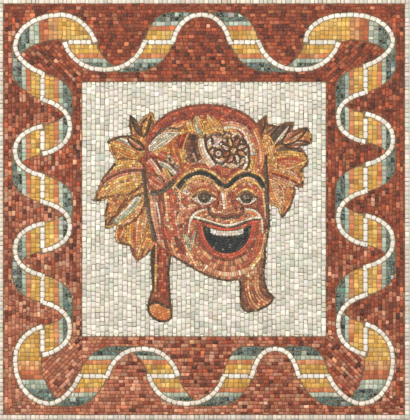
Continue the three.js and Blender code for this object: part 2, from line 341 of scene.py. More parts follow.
class Stone(Enum):
    """The sorts of tesserae, each with its tint."""

    EDGE = Tint(((226, 210, 192), (236, 221, 205), (212, 208, 192), (222, 202, 183)), (4, 4, 2, 1.5), 0.045)
    LINE = Tint(((238, 229, 212), (244, 237, 224), (226, 217, 198)), (4, 4, 1), 0.03)
    FIELD = Tint(((226, 219, 201), (235, 228, 213), (210, 210, 192), (220, 208, 184)), (5, 4, 2, 1), 0.05)
    GROUND = Tint(
        ((132, 56, 30), (150, 69, 38), (104, 40, 22), (174, 102, 67), (64, 26, 17), (208, 152, 116)),
        (6, 5, 4, 2, 2.4, 0.6), 0.13, 0.1,
    )
    PALE_GROUND = Tint(
        ((174, 104, 74), (190, 122, 90), (150, 86, 62), (204, 150, 118), (108, 60, 44), (222, 184, 152)),
        (6, 5, 4, 3, 1.4, 1), 0.1, 0.2,
    )
    RIBBON_YELLOW = Tint(((220, 172, 88), (211, 161, 72), (228, 188, 108), (190, 144, 74)), (4, 3, 3, 1.5), 0.07)
    RIBBON_ORANGE = Tint(((214, 140, 90), (204, 122, 76), (224, 162, 114)), (3, 2, 2), 0.07)
    RED_ORANGE = Tint(((190, 110, 70), (176, 96, 62), (208, 136, 94)), (4, 3, 2), 0.09)
    PALE_ORANGE = Tint(((216, 158, 108), (208, 144, 92), (226, 174, 120)), (4, 3, 2), 0.08)
    LIGHT_GREEN = Tint(((172, 182, 162), (190, 197, 178), (148, 163, 144)), (4, 3, 2), 0.07)
    DARK_GREEN = Tint(
        ((50, 67, 61), (82, 99, 90), (146, 159, 145), (24, 35, 33), (66, 89, 82)), (4, 4, 1.8, 5.2, 2), 0.2, 0.0
    )
    CROWN = small((166, 70, 50), (146, 60, 46), (190, 92, 62), (124, 54, 44), stray=0.12)
    CURLS = small((202, 130, 88), (186, 160, 130), (160, 96, 70), (176, 170, 140), (90, 70, 60))
    FACE = small(
        (196, 112, 76), (212, 146, 104), (164, 76, 56), (222, 172, 132), (138, 62, 52), spread=0.12, stray=0.3
    )
    JAW = small((194, 124, 86), (180, 98, 68), (214, 162, 118), (150, 80, 64), spread=0.12)
    LEAF = small((214, 160, 96), (196, 124, 78), (142, 90, 62), spread=0.12)
    STRAP = small((150, 72, 54), (126, 58, 46), (178, 104, 76), stray=0.16)
    INK = small((48, 50, 43), (64, 62, 50), (38, 42, 41), stray=0.05)
    SLATE = small((78, 84, 76), (58, 64, 60), (100, 104, 92), stray=0.06)
    MAROON = small((122, 52, 44), (142, 66, 52), (98, 44, 42), stray=0.12)
    RED = small((182, 74, 50), (200, 94, 64), (158, 60, 46), stray=0.14)
    TERRACOTTA = small((196, 110, 72), (180, 92, 62), (210, 134, 94))
    ORANGE = small((214, 136, 78), (204, 118, 64), (224, 158, 100), stray=0.16)
    AMBER = small((222, 174, 98), (206, 150, 78), (232, 196, 130), spread=0.11, stray=0.2)
    SAND = small((224, 174, 126), (212, 156, 108), (232, 194, 150))
    PINK = small((202, 138, 114), (188, 118, 98), (216, 166, 142))
    CREAM = small((230, 218, 196), (220, 202, 172), (238, 230, 214), spread=0.06, stray=0.06)
    SAGE = small((172, 180, 150), (152, 162, 136), (196, 200, 170), stray=0.12)
    BROWN = small((124, 84, 64), (102, 68, 54), (148, 106, 82), stray=0.16)
    DUSK = small((88, 58, 52), (116, 84, 74), (60, 50, 50), (154, 124, 114))
    LIP = small((202, 78, 58), (186, 64, 48), (218, 106, 84), stray=0.05)
    SPECKLE = small((206, 160, 118), (48, 50, 48), (232, 222, 202), (92, 88, 78), (222, 196, 160), (214, 168, 96))
    RAY = Tint(
        ((198, 128, 88), (168, 86, 62), (216, 160, 114), (134, 66, 54), (190, 146, 112)), (4, 3, 3, 2, 1), 0.1
    )
    PALE_RAY = Tint(((226, 186, 144), (210, 148, 104), (238, 220, 192)), (3, 3, 2), 0.08)
    TEETH = Tint(((228, 220, 200), (240, 234, 220), (206, 192, 166)), (2, 1, 1), 0.04)
    EYE = Tint(((232, 222, 200), (216, 200, 172)), (2, 1), 0.04)
    MOUTH = Tint(((38, 42, 44), (54, 56, 52), (96, 92, 76)), (6, 3, 1), 0.14, 0.0)


# ---------- Laying tesserae ----------


def straight_rows(
    edges: Array, reach: tuple[float, float], length: float, turn: float, rng: np.random.Generator
) -> Array:
    """Cells in straight rows with staggered joints.

    Each row lies between two edges. Its joints follow each other at about the stone length, with a spread, and
    start at a random place. Every edge wanders a little, by a sine wave of its own. The whole is turned.

    Args:
        edges: distances across the rows, one more than there are rows.
        reach: where the rows start and end.
        length: the usual length of a stone.
        turn: the angle of the rows from +u, in radians.
        rng: the random source.

    Returns:
        Cells of four corners, (n, 4, 2).
    """
    spread, shortest, longest = 0.2, 0.55, 1.6
    wander, least_wave, most_wave = 0.6, 60, 160
    rows = len(edges) - 1
    count = int((reach[1] - reach[0]) / length) + 3
    lengths = length * np.clip(1 + spread * rng.standard_normal((rows, count)), shortest, longest)
    starts = reach[0] - length * rng.uniform(0, 1.5, (rows, 1))
    joints = starts + np.cumsum(lengths, axis=1)
    phase = rng.uniform(0, 2 * np.pi, (rows + 1, 1))
    pace = 2 * np.pi / rng.uniform(least_wave, most_wave, (rows + 1, 1))

    def edge_at(first: int) -> Array:
        """Where each row's lower edge runs at the row's joints, or with 1 its upper edge."""
        own = slice(first, first + rows)
        return edges[own, None] + wander * np.sin(joints * pace[own] + phase[own])

    lean = 0.5 * rng.standard_normal(joints.shape)
    low = np.stack([joints - lean, edge_at(0)], axis=-1)
    high = np.stack([joints + lean, edge_at(1)], axis=-1)
    cells = np.stack([low[:, :-1], low[:, 1:], high[:, 1:], high[:, :-1]], axis=2).reshape(-1, 4, 2)
    cosine, sine = np.cos(turn), np.sin(turn)
    return cells @ np.array([[cosine, sine], [-sine, cosine]])


def even_edges(low: float, high: float, pitch: float) -> Array:
    """Row edges at an even pitch that fill a range exactly."""
    return np.linspace(low, high, max(1, round((high - low) / pitch)) + 1)


def leftward(line: Array, closed: bool = False) -> Array:
    """The unit vector to the left of a line at each point: its slope there, turned by a right angle.

    Args:
        line: the points, (n, 2). A closed line's last point is its first.
        closed: whether the slope at the ends is taken across them.

    Returns:
        The vectors, (n, 2).
    """
    ahead = np.gradient(line, axis=0)
    if closed:
        ahead[[0, -1]] = line[1] - line[-2]
    ahead /= np.linalg.norm(ahead, axis=1, keepdims=True)
    return np.stack([-ahead[:, 1], ahead[:, 0]], axis=1)


def between(at: Array, places: Array, points: Array) -> Array:
    """Points at new places along a line, each mixed from the two points whose own places lie round it."""
    return np.stack([np.interp(at, places, points[:, i]) for i in (0, 1)], axis=1)


@dataclass(frozen=True)
class Path:
    """A line that rows of tesserae follow, through points in order.

    wander is how far the rows' edges swing, by a sine wave whose phase is the edge's distance from the path,
    so that neighbouring rows share one edge. jitter is how far joints usually stray from even places, as a share
    of a stone, and most_jitter the furthest. step is how finely the path is followed.
    """

    points: Array
    closed: bool = False
    wander: float = 0.5
    swing_length: float = 11.0
    jitter: float = 0.12
    most_jitter: float = 0.3
    step: float = 1.5

    def row(self, near: float, far: float, length: float, rng: np.random.Generator) -> Array:
        """One row of cells between two distances to the left of the path.

        The path moved sideways by the row's middle distance is measured off in stone lengths, and the joints
        stand square to the path there.

        Args:
            near: distance of the row's nearer edge, negative to the right of the path.
            far: distance of its other edge.
            length: the usual length of a stone.
            rng: the random source.

        Returns:
            Cells of four corners, (n, 4, 2).
        """
        line, left = self.fine_line()
        middle = line + left * (near + far) / 2
        run = np.concatenate([[0], np.cumsum(np.linalg.norm(np.diff(middle, axis=0), axis=1))])
        count = max(3 if self.closed else 1, round(run[-1] / length))
        jitter = np.clip(self.jitter * rng.standard_normal(count + 1), -self.most_jitter, self.most_jitter)
        joints = np.arange(count + 1) + jitter
        joints[0], joints[-1] = 0, count
        joints *= run[-1] / count
        steps = np.arange(len(line))
        at = np.interp(joints, run, steps)
        base, side = between(at, steps, line), between(at, steps, left)
        swing = joints[:, None] / self.swing_length
        low, high = (base + side * (edge + self.wander * np.sin(swing + 2 * edge)) for edge in (near, far))
        return np.stack([low[:-1], low[1:], high[1:], high[:-1]], axis=1)

    def fine_line(self) -> tuple[Array, Array]:
        """The path in fine even steps, with its corners eased.

        Returns:
            The points, and the unit vector to the left of the path at each.
        """
        points = np.vstack([self.points, self.points[:1]]) if self.closed else self.points
        gap = np.linalg.norm(np.diff(points, axis=0), axis=1)
        keep = np.concatenate([[True], gap > 1e-6])
        place = np.concatenate([[0], np.cumsum(gap[keep[1:]])])
        fine = np.linspace(0, place[-1], max(8, int(place[-1] / self.step)))
        line = self.eased(between(fine, place, points[keep]))
        return line, leftward(line, self.closed)

    def eased(self, line: Array) -> Array:
        """Rounds the corners of a line: each point becomes the mean of the five round it.

        Args:
            line: the points, (n, 2). A closed line's last point is its first.

        Returns:
            As many points. An open line keeps its ends.
        """
        mode = "wrap" if self.closed else "edge"
        body = line[:-1] if self.closed else line
        padded = np.pad(body, ((2, 2), (0, 0)), mode=mode)
        mean = sum(padded[i : i + len(body)] for i in range(5)) / 5
        if self.closed:
            return np.vstack([mean, mean[:1]])
        mean[[0, -1]] = line[[0, -1]]
        return mean


def inside_cells(cells: Array, share: Array) -> Array:
    """Points of cells at shares (s, t): the four corners mixed by s along a cell and by t across it.

    Args:
        cells: four-cornered cells, (n, 4, 2).
        share: the shares for each cell, (n, m, 2).

    Returns:
        The points, (n, m, 2).
    """
    s, t = share[..., 0:1], share[..., 1:2]
    a, b, c, d = (cells[:, None, i] for i in range(4))
    return (1 - t) * ((1 - s) * a + s * b) + t * ((1 - s) * d + s * c)


def free_part(canvas: Canvas, cells: Array, free: Array) -> tuple[Array, Array]:
    """Finds the free part of each cell by five by five samples.

    Args:
        canvas: the raster that the free area lies on.
        cells: four-cornered cells, (n, 4, 2).
        free: the mask that stones may cover.

    Returns:
        The stones' centres, (n, 2), and the free share of each cell, (n,). The centre is the mean of the free
        samples in a cell that is free throughout, and otherwise the free sample nearest to their mean.
    """
    across, whole = 5, 0.99
    ticks = (np.arange(across) + 0.5) / across
    lattice = np.stack(np.meshgrid(ticks, ticks), axis=-1).reshape(1, -1, 2)
    points = inside_cells(cells, np.broadcast_to(lattice, (len(cells), *lattice.shape[1:])))
    open_there = canvas.sample(free, points)
    share = open_there.mean(axis=1)
    mean = (points * open_there[..., None]).sum(axis=1) / np.maximum(open_there.sum(axis=1), 1)[:, None]
    away = np.linalg.norm(points - mean[:, None], axis=2) + 1e6 * ~open_there
    centre = points[np.arange(len(cells)), away.argmin(axis=1)]
    full = share > whole
    centre[full] = mean[full]
    return centre, share


def cut_cells(
    canvas: Canvas, cells: Array, free: Array, joint: float, rng: np.random.Generator, least: float = 5.0
) -> Array:
    """Cuts cells to a free area, as a mosaicist nips stones to fit.

    Eight rays run from the centre of a cell's free part to the corners and the middles of the cell's sides,
    drawn in by half a joint that varies from stone to stone, and each stops where it leaves the free area.
    Their ends are the stone's outline. Corners are worn more than sides.

    Args:
        canvas: the raster that the free area lies on.
        cells: four-cornered cells, (n, 4, 2).
        free: the mask that stones may cover.
        joint: the width of the joint between two stones.
        rng: the random source.
        least: the smallest area that is still laid.

    Returns:
        Outlines of eight points, counter-clockwise, (m, 8, 2).
    """
    least_share, ray_steps = 0.12, 24
    most_margin, least_gap, gap_spread = 0.3, 0.3, 2.6
    worn_corner, worn_side = 0.94, 0.975
    cells = np.where(signed_area(cells)[:, None, None] > 0, cells, cells[:, ::-1])
    nearby = canvas.sample(free, np.concatenate([cells, cells.mean(axis=1, keepdims=True)], axis=1)).any(axis=1)
    cells = cells[nearby]
    if not len(cells):
        return np.empty((0, 8, 2))
    width, height = (
        0.5 * sum(np.linalg.norm(cells[:, a] - cells[:, b], axis=1) for a, b in sides)
        for sides in (((0, 1), (3, 2)), ((0, 3), (1, 2)))
    )
    margin = np.stack([joint / 2 / np.maximum(width, 2), joint / 2 / np.maximum(height, 2)], axis=1)
    margin = np.minimum(margin, most_margin) * (least_gap + gap_spread * rng.random(margin.shape) ** 3)
    centre, share = free_part(canvas, cells, free)

    around = np.array([[0, 0], [0.5, 0], [1, 0], [1, 0.5], [1, 1], [0.5, 1], [0, 1], [0, 0.5]])
    ray = inside_cells(cells, margin[:, None, :] + around[None] * (1 - 2 * margin[:, None, :])) - centre[:, None]
    reach = (np.arange(ray_steps) + 1) / ray_steps
    walked = centre[:, None, None] + ray[:, :, None] * reach[None, None, :, None]
    blocked = ~canvas.sample(free, walked)
    first = np.where(blocked.any(axis=2), blocked.argmax(axis=2) / ray_steps, 1.0)
    rounding = rng.uniform(np.where(np.arange(8) % 2, worn_side, worn_corner), 1.0, first.shape)
    outline = centre[:, None] + ray * (first * rounding)[..., None]
    return outline[(share > least_share) & (signed_area(outline) > least)]


@dataclass(frozen=True)
class Wear:
    """How stones are worn and set, in millimetres; lean is a slope.

    edge is how far the top is drawn in, shoulder how far below the top that begins, and foot how far above the
    slab's front a stone begins. The tops lie at least sunk below the panel's front, and up to uneven deeper.
    A leaning top rises or falls by no more than most_lift.
    """

    edge: float = 0.26
    shoulder: float = 0.5
    foot: float = 0.5
    sunk: float = 0.35
    uneven: float = 0.3
    lean: float = 0.022
    most_lift: float = 0.3


@dataclass
class Heap:
    """Laid tesserae that make one piece: their outlines and linear colours."""

    outlines: list[Array] = field(default_factory=list)
    colours: list[Array] = field(default_factory=list)
    wear: Wear = Wear()

    def add(self, outlines: Array, stone: Stone, rng: np.random.Generator) -> None:
        """Adds stones with colours picked from their sort's tint.

        Args:
            outlines: the stones' outlines, (n, 8, 2).
            stone: their sort.
            rng: the random source.
        """
        if len(outlines):
            self.outlines.append(outlines)
            self.colours.append(stone.value.pick(outlines.mean(axis=1), rng))

    def points(self, rng: np.random.Generator) -> Array:
        """Raises every outline into three rings: the foot in the mortar, the shoulder, and the drawn-in top.

        The top of each stone is a plane that leans and stands a little differently, so its height at a point
        is the stone's height plus the lean times the way from the middle.

        Args:
            rng: the random source.

        Returns:
            Places in metres, (stones, 3, 8, 3).
        """
        outline, wear = np.concatenate(self.outlines), self.wear
        stones = len(outline)
        centre = outline.mean(axis=1, keepdims=True)
        arm = outline - centre
        length = np.linalg.norm(arm, axis=2, keepdims=True)
        chamfer = np.minimum(wear.edge, 0.2 * length)
        top_ring = centre + arm * (1 - chamfer / np.maximum(length, 1e-6))
        height = LAYOUT.stone_front - wear.sunk - wear.uneven * rng.random((stones, 1))
        lean = wear.lean * rng.standard_normal((stones, 2))
        lift = np.abs((arm @ lean[:, :, None])[..., 0]).max(axis=1)
        lean *= np.minimum(1, wear.most_lift / np.maximum(lift, 1e-6))[:, None]
        top = height + (arm @ lean[:, :, None])[..., 0]
        foot = np.full(top.shape, LAYOUT.slab_front + wear.foot)
        points = np.empty((stones, 3, 8, 3), np.float32)
        for i, (ring, depth) in enumerate(((outline, foot), (outline, top - wear.shoulder), (top_ring, top))):
            points[:, i, :, 0] = ring[..., 0] * MM
            points[:, i, :, 1] = -depth * MM
            points[:, i, :, 2] = ring[..., 1] * MM
        return points

    def mesh(self, name: str, rng: np.random.Generator) -> bpy.types.Object:
        """Builds the stones as closed blocks: sixteen sides, and one face each for the foot and the top.

        Args:
            name: the piece's name.
            rng: the random source.

        Returns:
            The object. Its attribute "stone" holds each stone's colour, and a number of its own as alpha.
        """
        points = self.points(rng)
        stones, rings, ring = points.shape[:3]
        each = rings * ring
        corner = np.arange(ring)
        after = (corner + 1) % ring
        band = np.stack([corner, after, after + ring, corner + ring], axis=1).ravel()
        loops = np.concatenate([band, band + ring, corner[::-1], corner + 2 * ring])
        sizes = np.array([4] * 2 * ring + [ring, ring])
        starts = np.concatenate([[0], np.cumsum(sizes)[:-1]])
        base = np.arange(stones)[:, None]
        mesh = bpy.data.meshes.new(name)
        mesh.vertices.add(each * stones)
        mesh.vertices.foreach_set("co", points.ravel())
        mesh.loops.add(len(loops) * stones)
        mesh.loops.foreach_set("vertex_index", (loops[None] + each * base).ravel().astype(np.int32))
        mesh.polygons.add(len(sizes) * stones)
        mesh.polygons.foreach_set("loop_start", (starts[None] + len(loops) * base).ravel().astype(np.int32))
        mesh.polygons.foreach_set("loop_total", np.tile(sizes, stones).astype(np.int32))
        mesh.update(calc_edges=True)
        stone = np.concatenate([np.concatenate(self.colours), rng.random((stones, 1))], axis=1)
        return placed(name, mesh, "stone", np.repeat(stone, each, axis=0))


def placed(name: str, mesh: bpy.types.Mesh, layer: str, colours: Array) -> bpy.types.Object:
    """Colours a mesh and puts it into the scene.

    Args:
        name: the object's name.
        mesh: its mesh.
        layer: the colour attribute's name.
        colours: linear colours with alpha, one for each vertex, (n, 4).

    Returns:
        The object.
    """
    attribute = mesh.color_attributes.new(layer, "FLOAT_COLOR", "POINT")
    attribute.data.foreach_set("color", colours.ravel().astype(np.float32))
    made = bpy.data.objects.new(name, mesh)
    bpy.context.scene.collection.objects.link(made)
    return made


# ---------- Shader maths ----------


class Graph:
    """The nodes of one material, made through one method."""

    def __init__(self, name: str) -> None:
        """Starts a material that holds no node.

        Args:
            name: the material's name.
        """
        self.material = bpy.data.materials.new(name)
        self.material.use_nodes = True
        self.tree = self.material.node_tree
        self.tree.nodes.clear()

    def node(self, kind: str, settings: dict | None = None, **sockets: object) -> bpy.types.Node:
        """Makes a node: its settings first, then the values or links of its sockets.

        Args:
            kind: the node's type.
            settings: attributes of the node, such as a Math node's operation.
            sockets: an input's name, with _ for a space, or i and its number; and its value or link.

        Returns:
            The node.
        """
        made = self.tree.nodes.new(kind)
        for key, value in (settings or {}).items():
            setattr(made, key, value)
        for key, value in sockets.items():
            number = key[1:] if key[0] == "i" and key[1:].isdigit() else None
            socket = made.inputs[int(number) if number else key.replace("_", " ")]
            if isinstance(value, Sock):
                self.tree.links.new(value.socket, socket)
            else:
                socket.default_value = value
        return made

    def sock(self, node: bpy.types.Node, output: int | str = 0) -> "Sock":
        """One output of a node, wrapped."""
        return Sock(self, node.outputs[output])

    def mix(self, factor: object, first: object, second: object, blend: str = "MIX") -> "Sock":
        """Mixes two colours.

        Args:
            factor: the share of the second, from 0 to 1.
            first: the first colour or its link.
            second: the second colour or its link.
            blend: how the second one acts on the first.

        Returns:
            The mixed colour.
        """
        made = self.node(
            "ShaderNodeMix", {"data_type": "RGBA", "blend_type": blend}, i0=factor, i6=first, i7=second
        )
        return self.sock(made, 2)

    def noise(self, place: "Sock", size: float, detail: float) -> "Sock":
        """Noise with features of a size in millimetres."""
        scale = 1 / (size * MM)
        return self.sock(self.node("ShaderNodeTexNoise", None, Vector=place, Scale=scale, Detail=detail))

    def lit(self, colour: object, light: "Sock") -> "Sock":
        """A colour times a lightness."""
        shade = self.sock(self.node("ShaderNodeCombineColor", None, i0=light, i1=light, i2=light))
        return self.mix(1.0, colour, shade, "MULTIPLY")

    def bump(self, height: "Sock", strength: float, depth: float) -> "Sock":
        """A normal roughened by a height that is full at a depth in millimetres."""
        return self.sock(self.node("ShaderNodeBump", None, Strength=strength, Distance=depth * MM, Height=height))

    def surface(self, **sockets: object) -> bpy.types.Material:
        """Ends the material in one surface.

        Args:
            sockets: the surface's inputs, named as in node.

        Returns:
            The finished material.
        """
        made = self.node("ShaderNodeBsdfPrincipled", None, **sockets)
        self.node("ShaderNodeOutputMaterial", None, Surface=self.sock(made))
        return self.material


class Sock:
    """A shader output that takes part in Python expressions."""

    def __init__(self, graph: Graph, socket: bpy.types.NodeSocket) -> None:
        """Wraps a socket of a graph."""
        self.graph, self.socket = graph, socket

    def _math(self, operation: str, first: object, second: object, clamp: bool = False) -> "Sock":
        """Adds a Math node."""
        settings = {"operation": operation, "use_clamp": clamp}
        return self.graph.sock(self.graph.node("ShaderNodeMath", settings, i0=first, i1=second))

    def __add__(self, other: object) -> "Sock":
        """Sum."""
        return self._math("ADD", self, other)

    __radd__ = __add__

    def __sub__(self, other: object) -> "Sock":
        """Difference."""
        return self._math("SUBTRACT", self, other)

    def __rsub__(self, other: object) -> "Sock":
        """Difference from a number."""
        return self._math("SUBTRACT", other, self)

    def __mul__(self, other: object) -> "Sock":
        """Product."""
        return self._math("MULTIPLY", self, other)

    __rmul__ = __mul__

    def __pow__(self, other: float) -> "Sock":
        """Power."""
        return self._math("POWER", self, other)

    def size(self) -> "Sock":
        """The value without its sign."""
        return self._math("ABSOLUTE", self, 0.0)

    def clamped(self) -> "Sock":
        """The value kept between 0 and 1."""
        return self._math("ADD", self, 0.0, clamp=True)


def flat(colour: Colour) -> tuple[float, ...]:
    """A display colour as a linear one with alpha."""
    return tuple(float(x) for x in linear(colour)) + (1.0,)


@dataclass(frozen=True)
class MarbleFinish:
    """Cut marble whose colour comes from each stone, clouded, veined and grained at its true scale.

    cloud is how strongly lightness drifts inside a stone, vein the share of the vein colour at a vein's
    middle, and feature the size of the clouds in millimetres. A vein runs where noise, wider by spacing, crosses
    its middle value, and thin is the power that narrows it. grain is the size of the grains and relief the
    depth of the cut face, both in millimetres.
    """

    name: str
    vein_colour: Colour
    cloud: float = 0.16
    vein: float = 0.35
    feature: float = 5.0
    roughness: float = 0.5
    spacing: float = 1.6
    thin: float = 14
    grain: float = 0.7
    grain_light: float = 0.1
    relief: float = 0.25
    refraction: float = 1.48
    shine: float = 0.3

    def material(self) -> bpy.types.Material:
        """Builds the material: stone colour times cloud and grain, then veins, over a bump of both noises.

        Returns:
            The material.
        """
        graph = Graph(self.name)
        stone = graph.node("ShaderNodeAttribute", {"attribute_name": "stone"})
        colour, chance = graph.sock(stone, "Color"), graph.sock(stone, "Alpha")
        place = graph.sock(graph.node("ShaderNodeTexCoord"), "Object")
        shifted = graph.sock(
            graph.node("ShaderNodeVectorMath", {"operation": "MULTIPLY_ADD"}, i0=place, i1=(1, 1, 1), i2=chance)
        )
        cloud = graph.noise(shifted, self.feature, 3.0)
        grain = graph.noise(shifted, self.grain, 2.0)
        wide = graph.noise(shifted, self.spacing * self.feature, 4.0)
        ridge = (1 - (wide * 2 - 1).size()).clamped() ** self.thin
        light = 1 + self.cloud * (cloud * 2 - 1) + self.grain_light * (grain * 2 - 1)
        body = graph.lit(colour, light)
        painted = graph.mix(ridge * self.vein, body, flat(self.vein_colour))
        bump = graph.bump(cloud * 0.6 + grain * 0.4, 0.5, self.relief)
        rough = self.roughness + 0.2 * (grain - 0.5)
        return graph.surface(
            Base_Color=painted, Roughness=rough, Normal=bump, IOR=self.refraction, Specular_IOR_Level=self.shine
        )


@dataclass(frozen=True)
class MortarFinish:
    """Fine sandy cement, coloured by an attribute or by one colour.

    grit, blotch and pore are the sizes of its sand, its broad blotches and its pores, and relief the depth of
    its face, all in millimetres. A pore is sunk near the middle of its cell, and steep is how quickly its wall
    rises. The lights are how strongly sand and blotches change the lightness, and the pores' share is painted
    shade that darkens their hollows.
    """

    name: str
    colour: Colour
    grit: float = 1.2
    tinted: bool = False
    blotch: float = 45
    pore: float = 6
    relief: float = 0.5
    roughness: float = 0.85
    sand_light: float = 0.3
    blotch_light: float = 0.25
    pore_light: float = -0.3
    steep: float = 3.2

    def material(self) -> bpy.types.Material:
        """Builds the material: the colour times sand and blotches less painted shade in the pores, over a bump of all
        three.

        Returns:
            The material.
        """
        graph = Graph(self.name)
        place = graph.sock(graph.node("ShaderNodeTexCoord"), "Object")
        sand = graph.noise(place, self.grit, 3.0)
        blotch = graph.noise(place, self.blotch, 4.0)
        pores = graph.sock(graph.node("ShaderNodeTexVoronoi", None, Vector=place, Scale=1 / (self.pore * MM)))
        pit = (1 - pores * self.steep).clamped()
        # the pores' term is painted shade: it darkens the colour in their sunk hollows
        light = 1 + self.sand_light * (sand * 2 - 1) + self.blotch_light * (blotch * 2 - 1) + self.pore_light * pit
        body: object = flat(self.colour)
        if self.tinted:
            body = graph.sock(graph.node("ShaderNodeAttribute", {"attribute_name": "bed"}), "Color")
        bump = graph.bump(sand * 0.5 + blotch * 0.3 - pit * 0.6, 0.7, self.relief)
        rough = self.roughness + 0.1 * (sand - 0.5)
        return graph.surface(Base_Color=graph.lit(body, light), Roughness=rough, Normal=bump)


class Marble(Enum):
    """The marbles of the panel, each with its finish."""

    WHITE = MarbleFinish("white_marble", (190, 178, 150), cloud=0.08, vein=0.3, feature=6.0, roughness=0.48)
    RED = MarbleFinish("red_marble", (205, 150, 125), cloud=0.6, vein=0.35, feature=2.4, roughness=0.52)
    YELLOW = MarbleFinish("yellow_marble", (190, 120, 60), cloud=0.14, vein=0.4, feature=4.5, roughness=0.5)
    ORANGE = MarbleFinish("orange_marble", (170, 80, 50), cloud=0.18, vein=0.4, feature=4.0, roughness=0.5)
    LIGHT_GREEN = MarbleFinish("light_green_marble", (120, 145, 130), cloud=0.14, vein=0.4, feature=4.5)
    DARK_GREEN = MarbleFinish("dark_green_marble", (176, 196, 182), cloud=0.75, vein=0.6, feature=4.5)
    TERRACOTTA = MarbleFinish("terracotta_marble", (225, 175, 140), cloud=0.2, vein=0.35, feature=3.0)
    BROWN = MarbleFinish("brown_marble", (190, 130, 100), cloud=0.2, vein=0.3, feature=3.0)
    OCHRE = MarbleFinish("ochre_marble", (180, 110, 60), cloud=0.18, vein=0.35, feature=3.0)
    DARK = MarbleFinish("dark_marble", (120, 125, 115), cloud=0.3, vein=0.3, feature=3.0)


# ---------- Sub-assemblies ----------


@dataclass
class Assembly:
    """What every part of the panel has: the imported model, a random source, and the materials made so far."""

    model: PackedModel
    seed: int
    materials: dict[Marble, bpy.types.Material]

    def __post_init__(self) -> None:
        """Seeds the random source."""
        self.rng = np.random.default_rng(self.seed)

    def finish(self, heap: Heap, name: str, marble: Marble, slot: str, replaced: tuple[str, ...]) -> bpy.types.Object:
        """Makes a heap into a piece: its mesh, its material, its body and the nodes that it replaces.

        Args:
            heap: the laid stones.
            name: the piece's name.
            marble: its marble.
            slot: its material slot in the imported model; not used.
            replaced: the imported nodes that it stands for.

        Returns:
            The piece's object.
        """
        piece = heap.mesh(name, self.rng)
        if marble not in self.materials:
            self.materials[marble] = marble.value.material()
        piece.data.materials.append(self.materials[marble])
        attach(piece, "root")
        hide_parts(*replaced)
        LOG.info("%s: %d stones", name, sum(len(part) for part in heap.outlines))
        return piece


@dataclass
class EdgeRow(Assembly):
    """The single row of white stones round the panel's edge."""

    stone: float = 9.5

    def build(self) -> None:
        """Lays the upper and lower rows from corner to corner, and the side rows between them."""
        width, height, row = LAYOUT.half_width, LAYOUT.half_height, LAYOUT.edge_row
        free = self.model.area(PANEL, "edge_row")
        heap = Heap()
        for turn, reach, edge in (
            (0.0, width, (-height, -height + row)),
            (0.0, width, (height - row, height)),
            (np.pi / 2, height - row, (-width, -width + row)),
            (np.pi / 2, height - row, (width - row, width)),
        ):
            path = Path(np.array([[-reach, 0.0], [reach, 0.0]]), wander=0.0)
            cells = path.row(*edge, self.stone, self.rng)
            if turn:
                cells = np.stack([cells[..., 1], cells[..., 0]], axis=-1)
            heap.add(cut_cells(PANEL, cells, free, LAYOUT.joint, self.rng), Stone.EDGE, self.rng)
        self.finish(heap, "edge_stones", Marble.WHITE, "white_marble", ("edge_row",))


@dataclass
class Ground(Assembly):
    """The brick-red ground on both sides of the ribbon.

    Pale stones make up the share pale at the panel's centre. Their share grows by one over every fade_u
    millimetres to the left and every fade_v downwards. reach is how far turned rows have to run from the
    centre to cover the panel, and sweep how far the outermost rows lie.
    """

    pitch: float = 7.5
    stone: float = 10.5
    pale: float = 0.34
    fade_u: float = 1500.0
    fade_v: float = 850.0
    sweep: float = 640.0
    reach: float = 620.0

    def zones(self) -> tuple[Array, Array, Array]:
        """Where the rows lie level, where they stand upright, and where they run slanting to the corners.

        In a corner the rows run along the nearer edge of the panel, and inside the ribbon's corner loops they
        slant from the field's corner outwards.

        Returns:
            Three masks. The corners' one lies over the other two.
        """
        u, v = PANEL.grid
        beside = np.abs(u) > LAYOUT.field_half_width
        above = np.abs(v) > LAYOUT.field_half_height
        corner = beside & above
        nearer_side = (LAYOUT.half_width - np.abs(u)) < (LAYOUT.half_height - np.abs(v))
        upright = (beside & ~above) | (corner & nearer_side)
        return ~upright, upright, corner

    def lay(self, heap: Heap, area: Array, turn: float) -> None:
        """Lays turned rows over an area. Pale stones grow commoner towards the panel's lower left.

        Args:
            heap: what the stones are added to.
            area: the mask that they may cover.
            turn: the angle of the rows from +u, in radians.
        """
        edges = even_edges(-self.sweep, self.sweep, self.pitch)
        cells = straight_rows(edges, (-self.reach, self.reach), self.stone, turn, self.rng)
        outlines = cut_cells(PANEL, cells, area, LAYOUT.joint, self.rng)
        u, v = outlines.mean(axis=1).T
        pale = self.rng.random(len(outlines)) < self.pale - v / self.fade_v - u / self.fade_u
        heap.add(outlines[~pale], Stone.GROUND, self.rng)
        heap.add(outlines[pale], Stone.PALE_GROUND, self.rng)

    def build(self) -> None:
        """Lays level rows above and below, upright rows at the sides, and slanting rows inside the loops."""
        level, upright, corner = self.zones()
        u, v = PANEL.grid
        for node, name in (("ground_outer", "ground_stones_outer"), ("ground_inner", "ground_stones_inner")):
            area = self.model.area(PANEL, node)
            loops = corner & area if node == "ground_inner" else np.zeros_like(corner)
            heap = Heap()
            self.lay(heap, area & level & ~loops, 0.0)
            self.lay(heap, area & upright & ~loops, np.pi / 2)
            self.lay(heap, loops & (u * v > 0), np.pi / 4)
            self.lay(heap, loops & (u * v < 0), -np.pi / 4)
            self.finish(heap, name, Marble.RED, "red_marble", (node,))


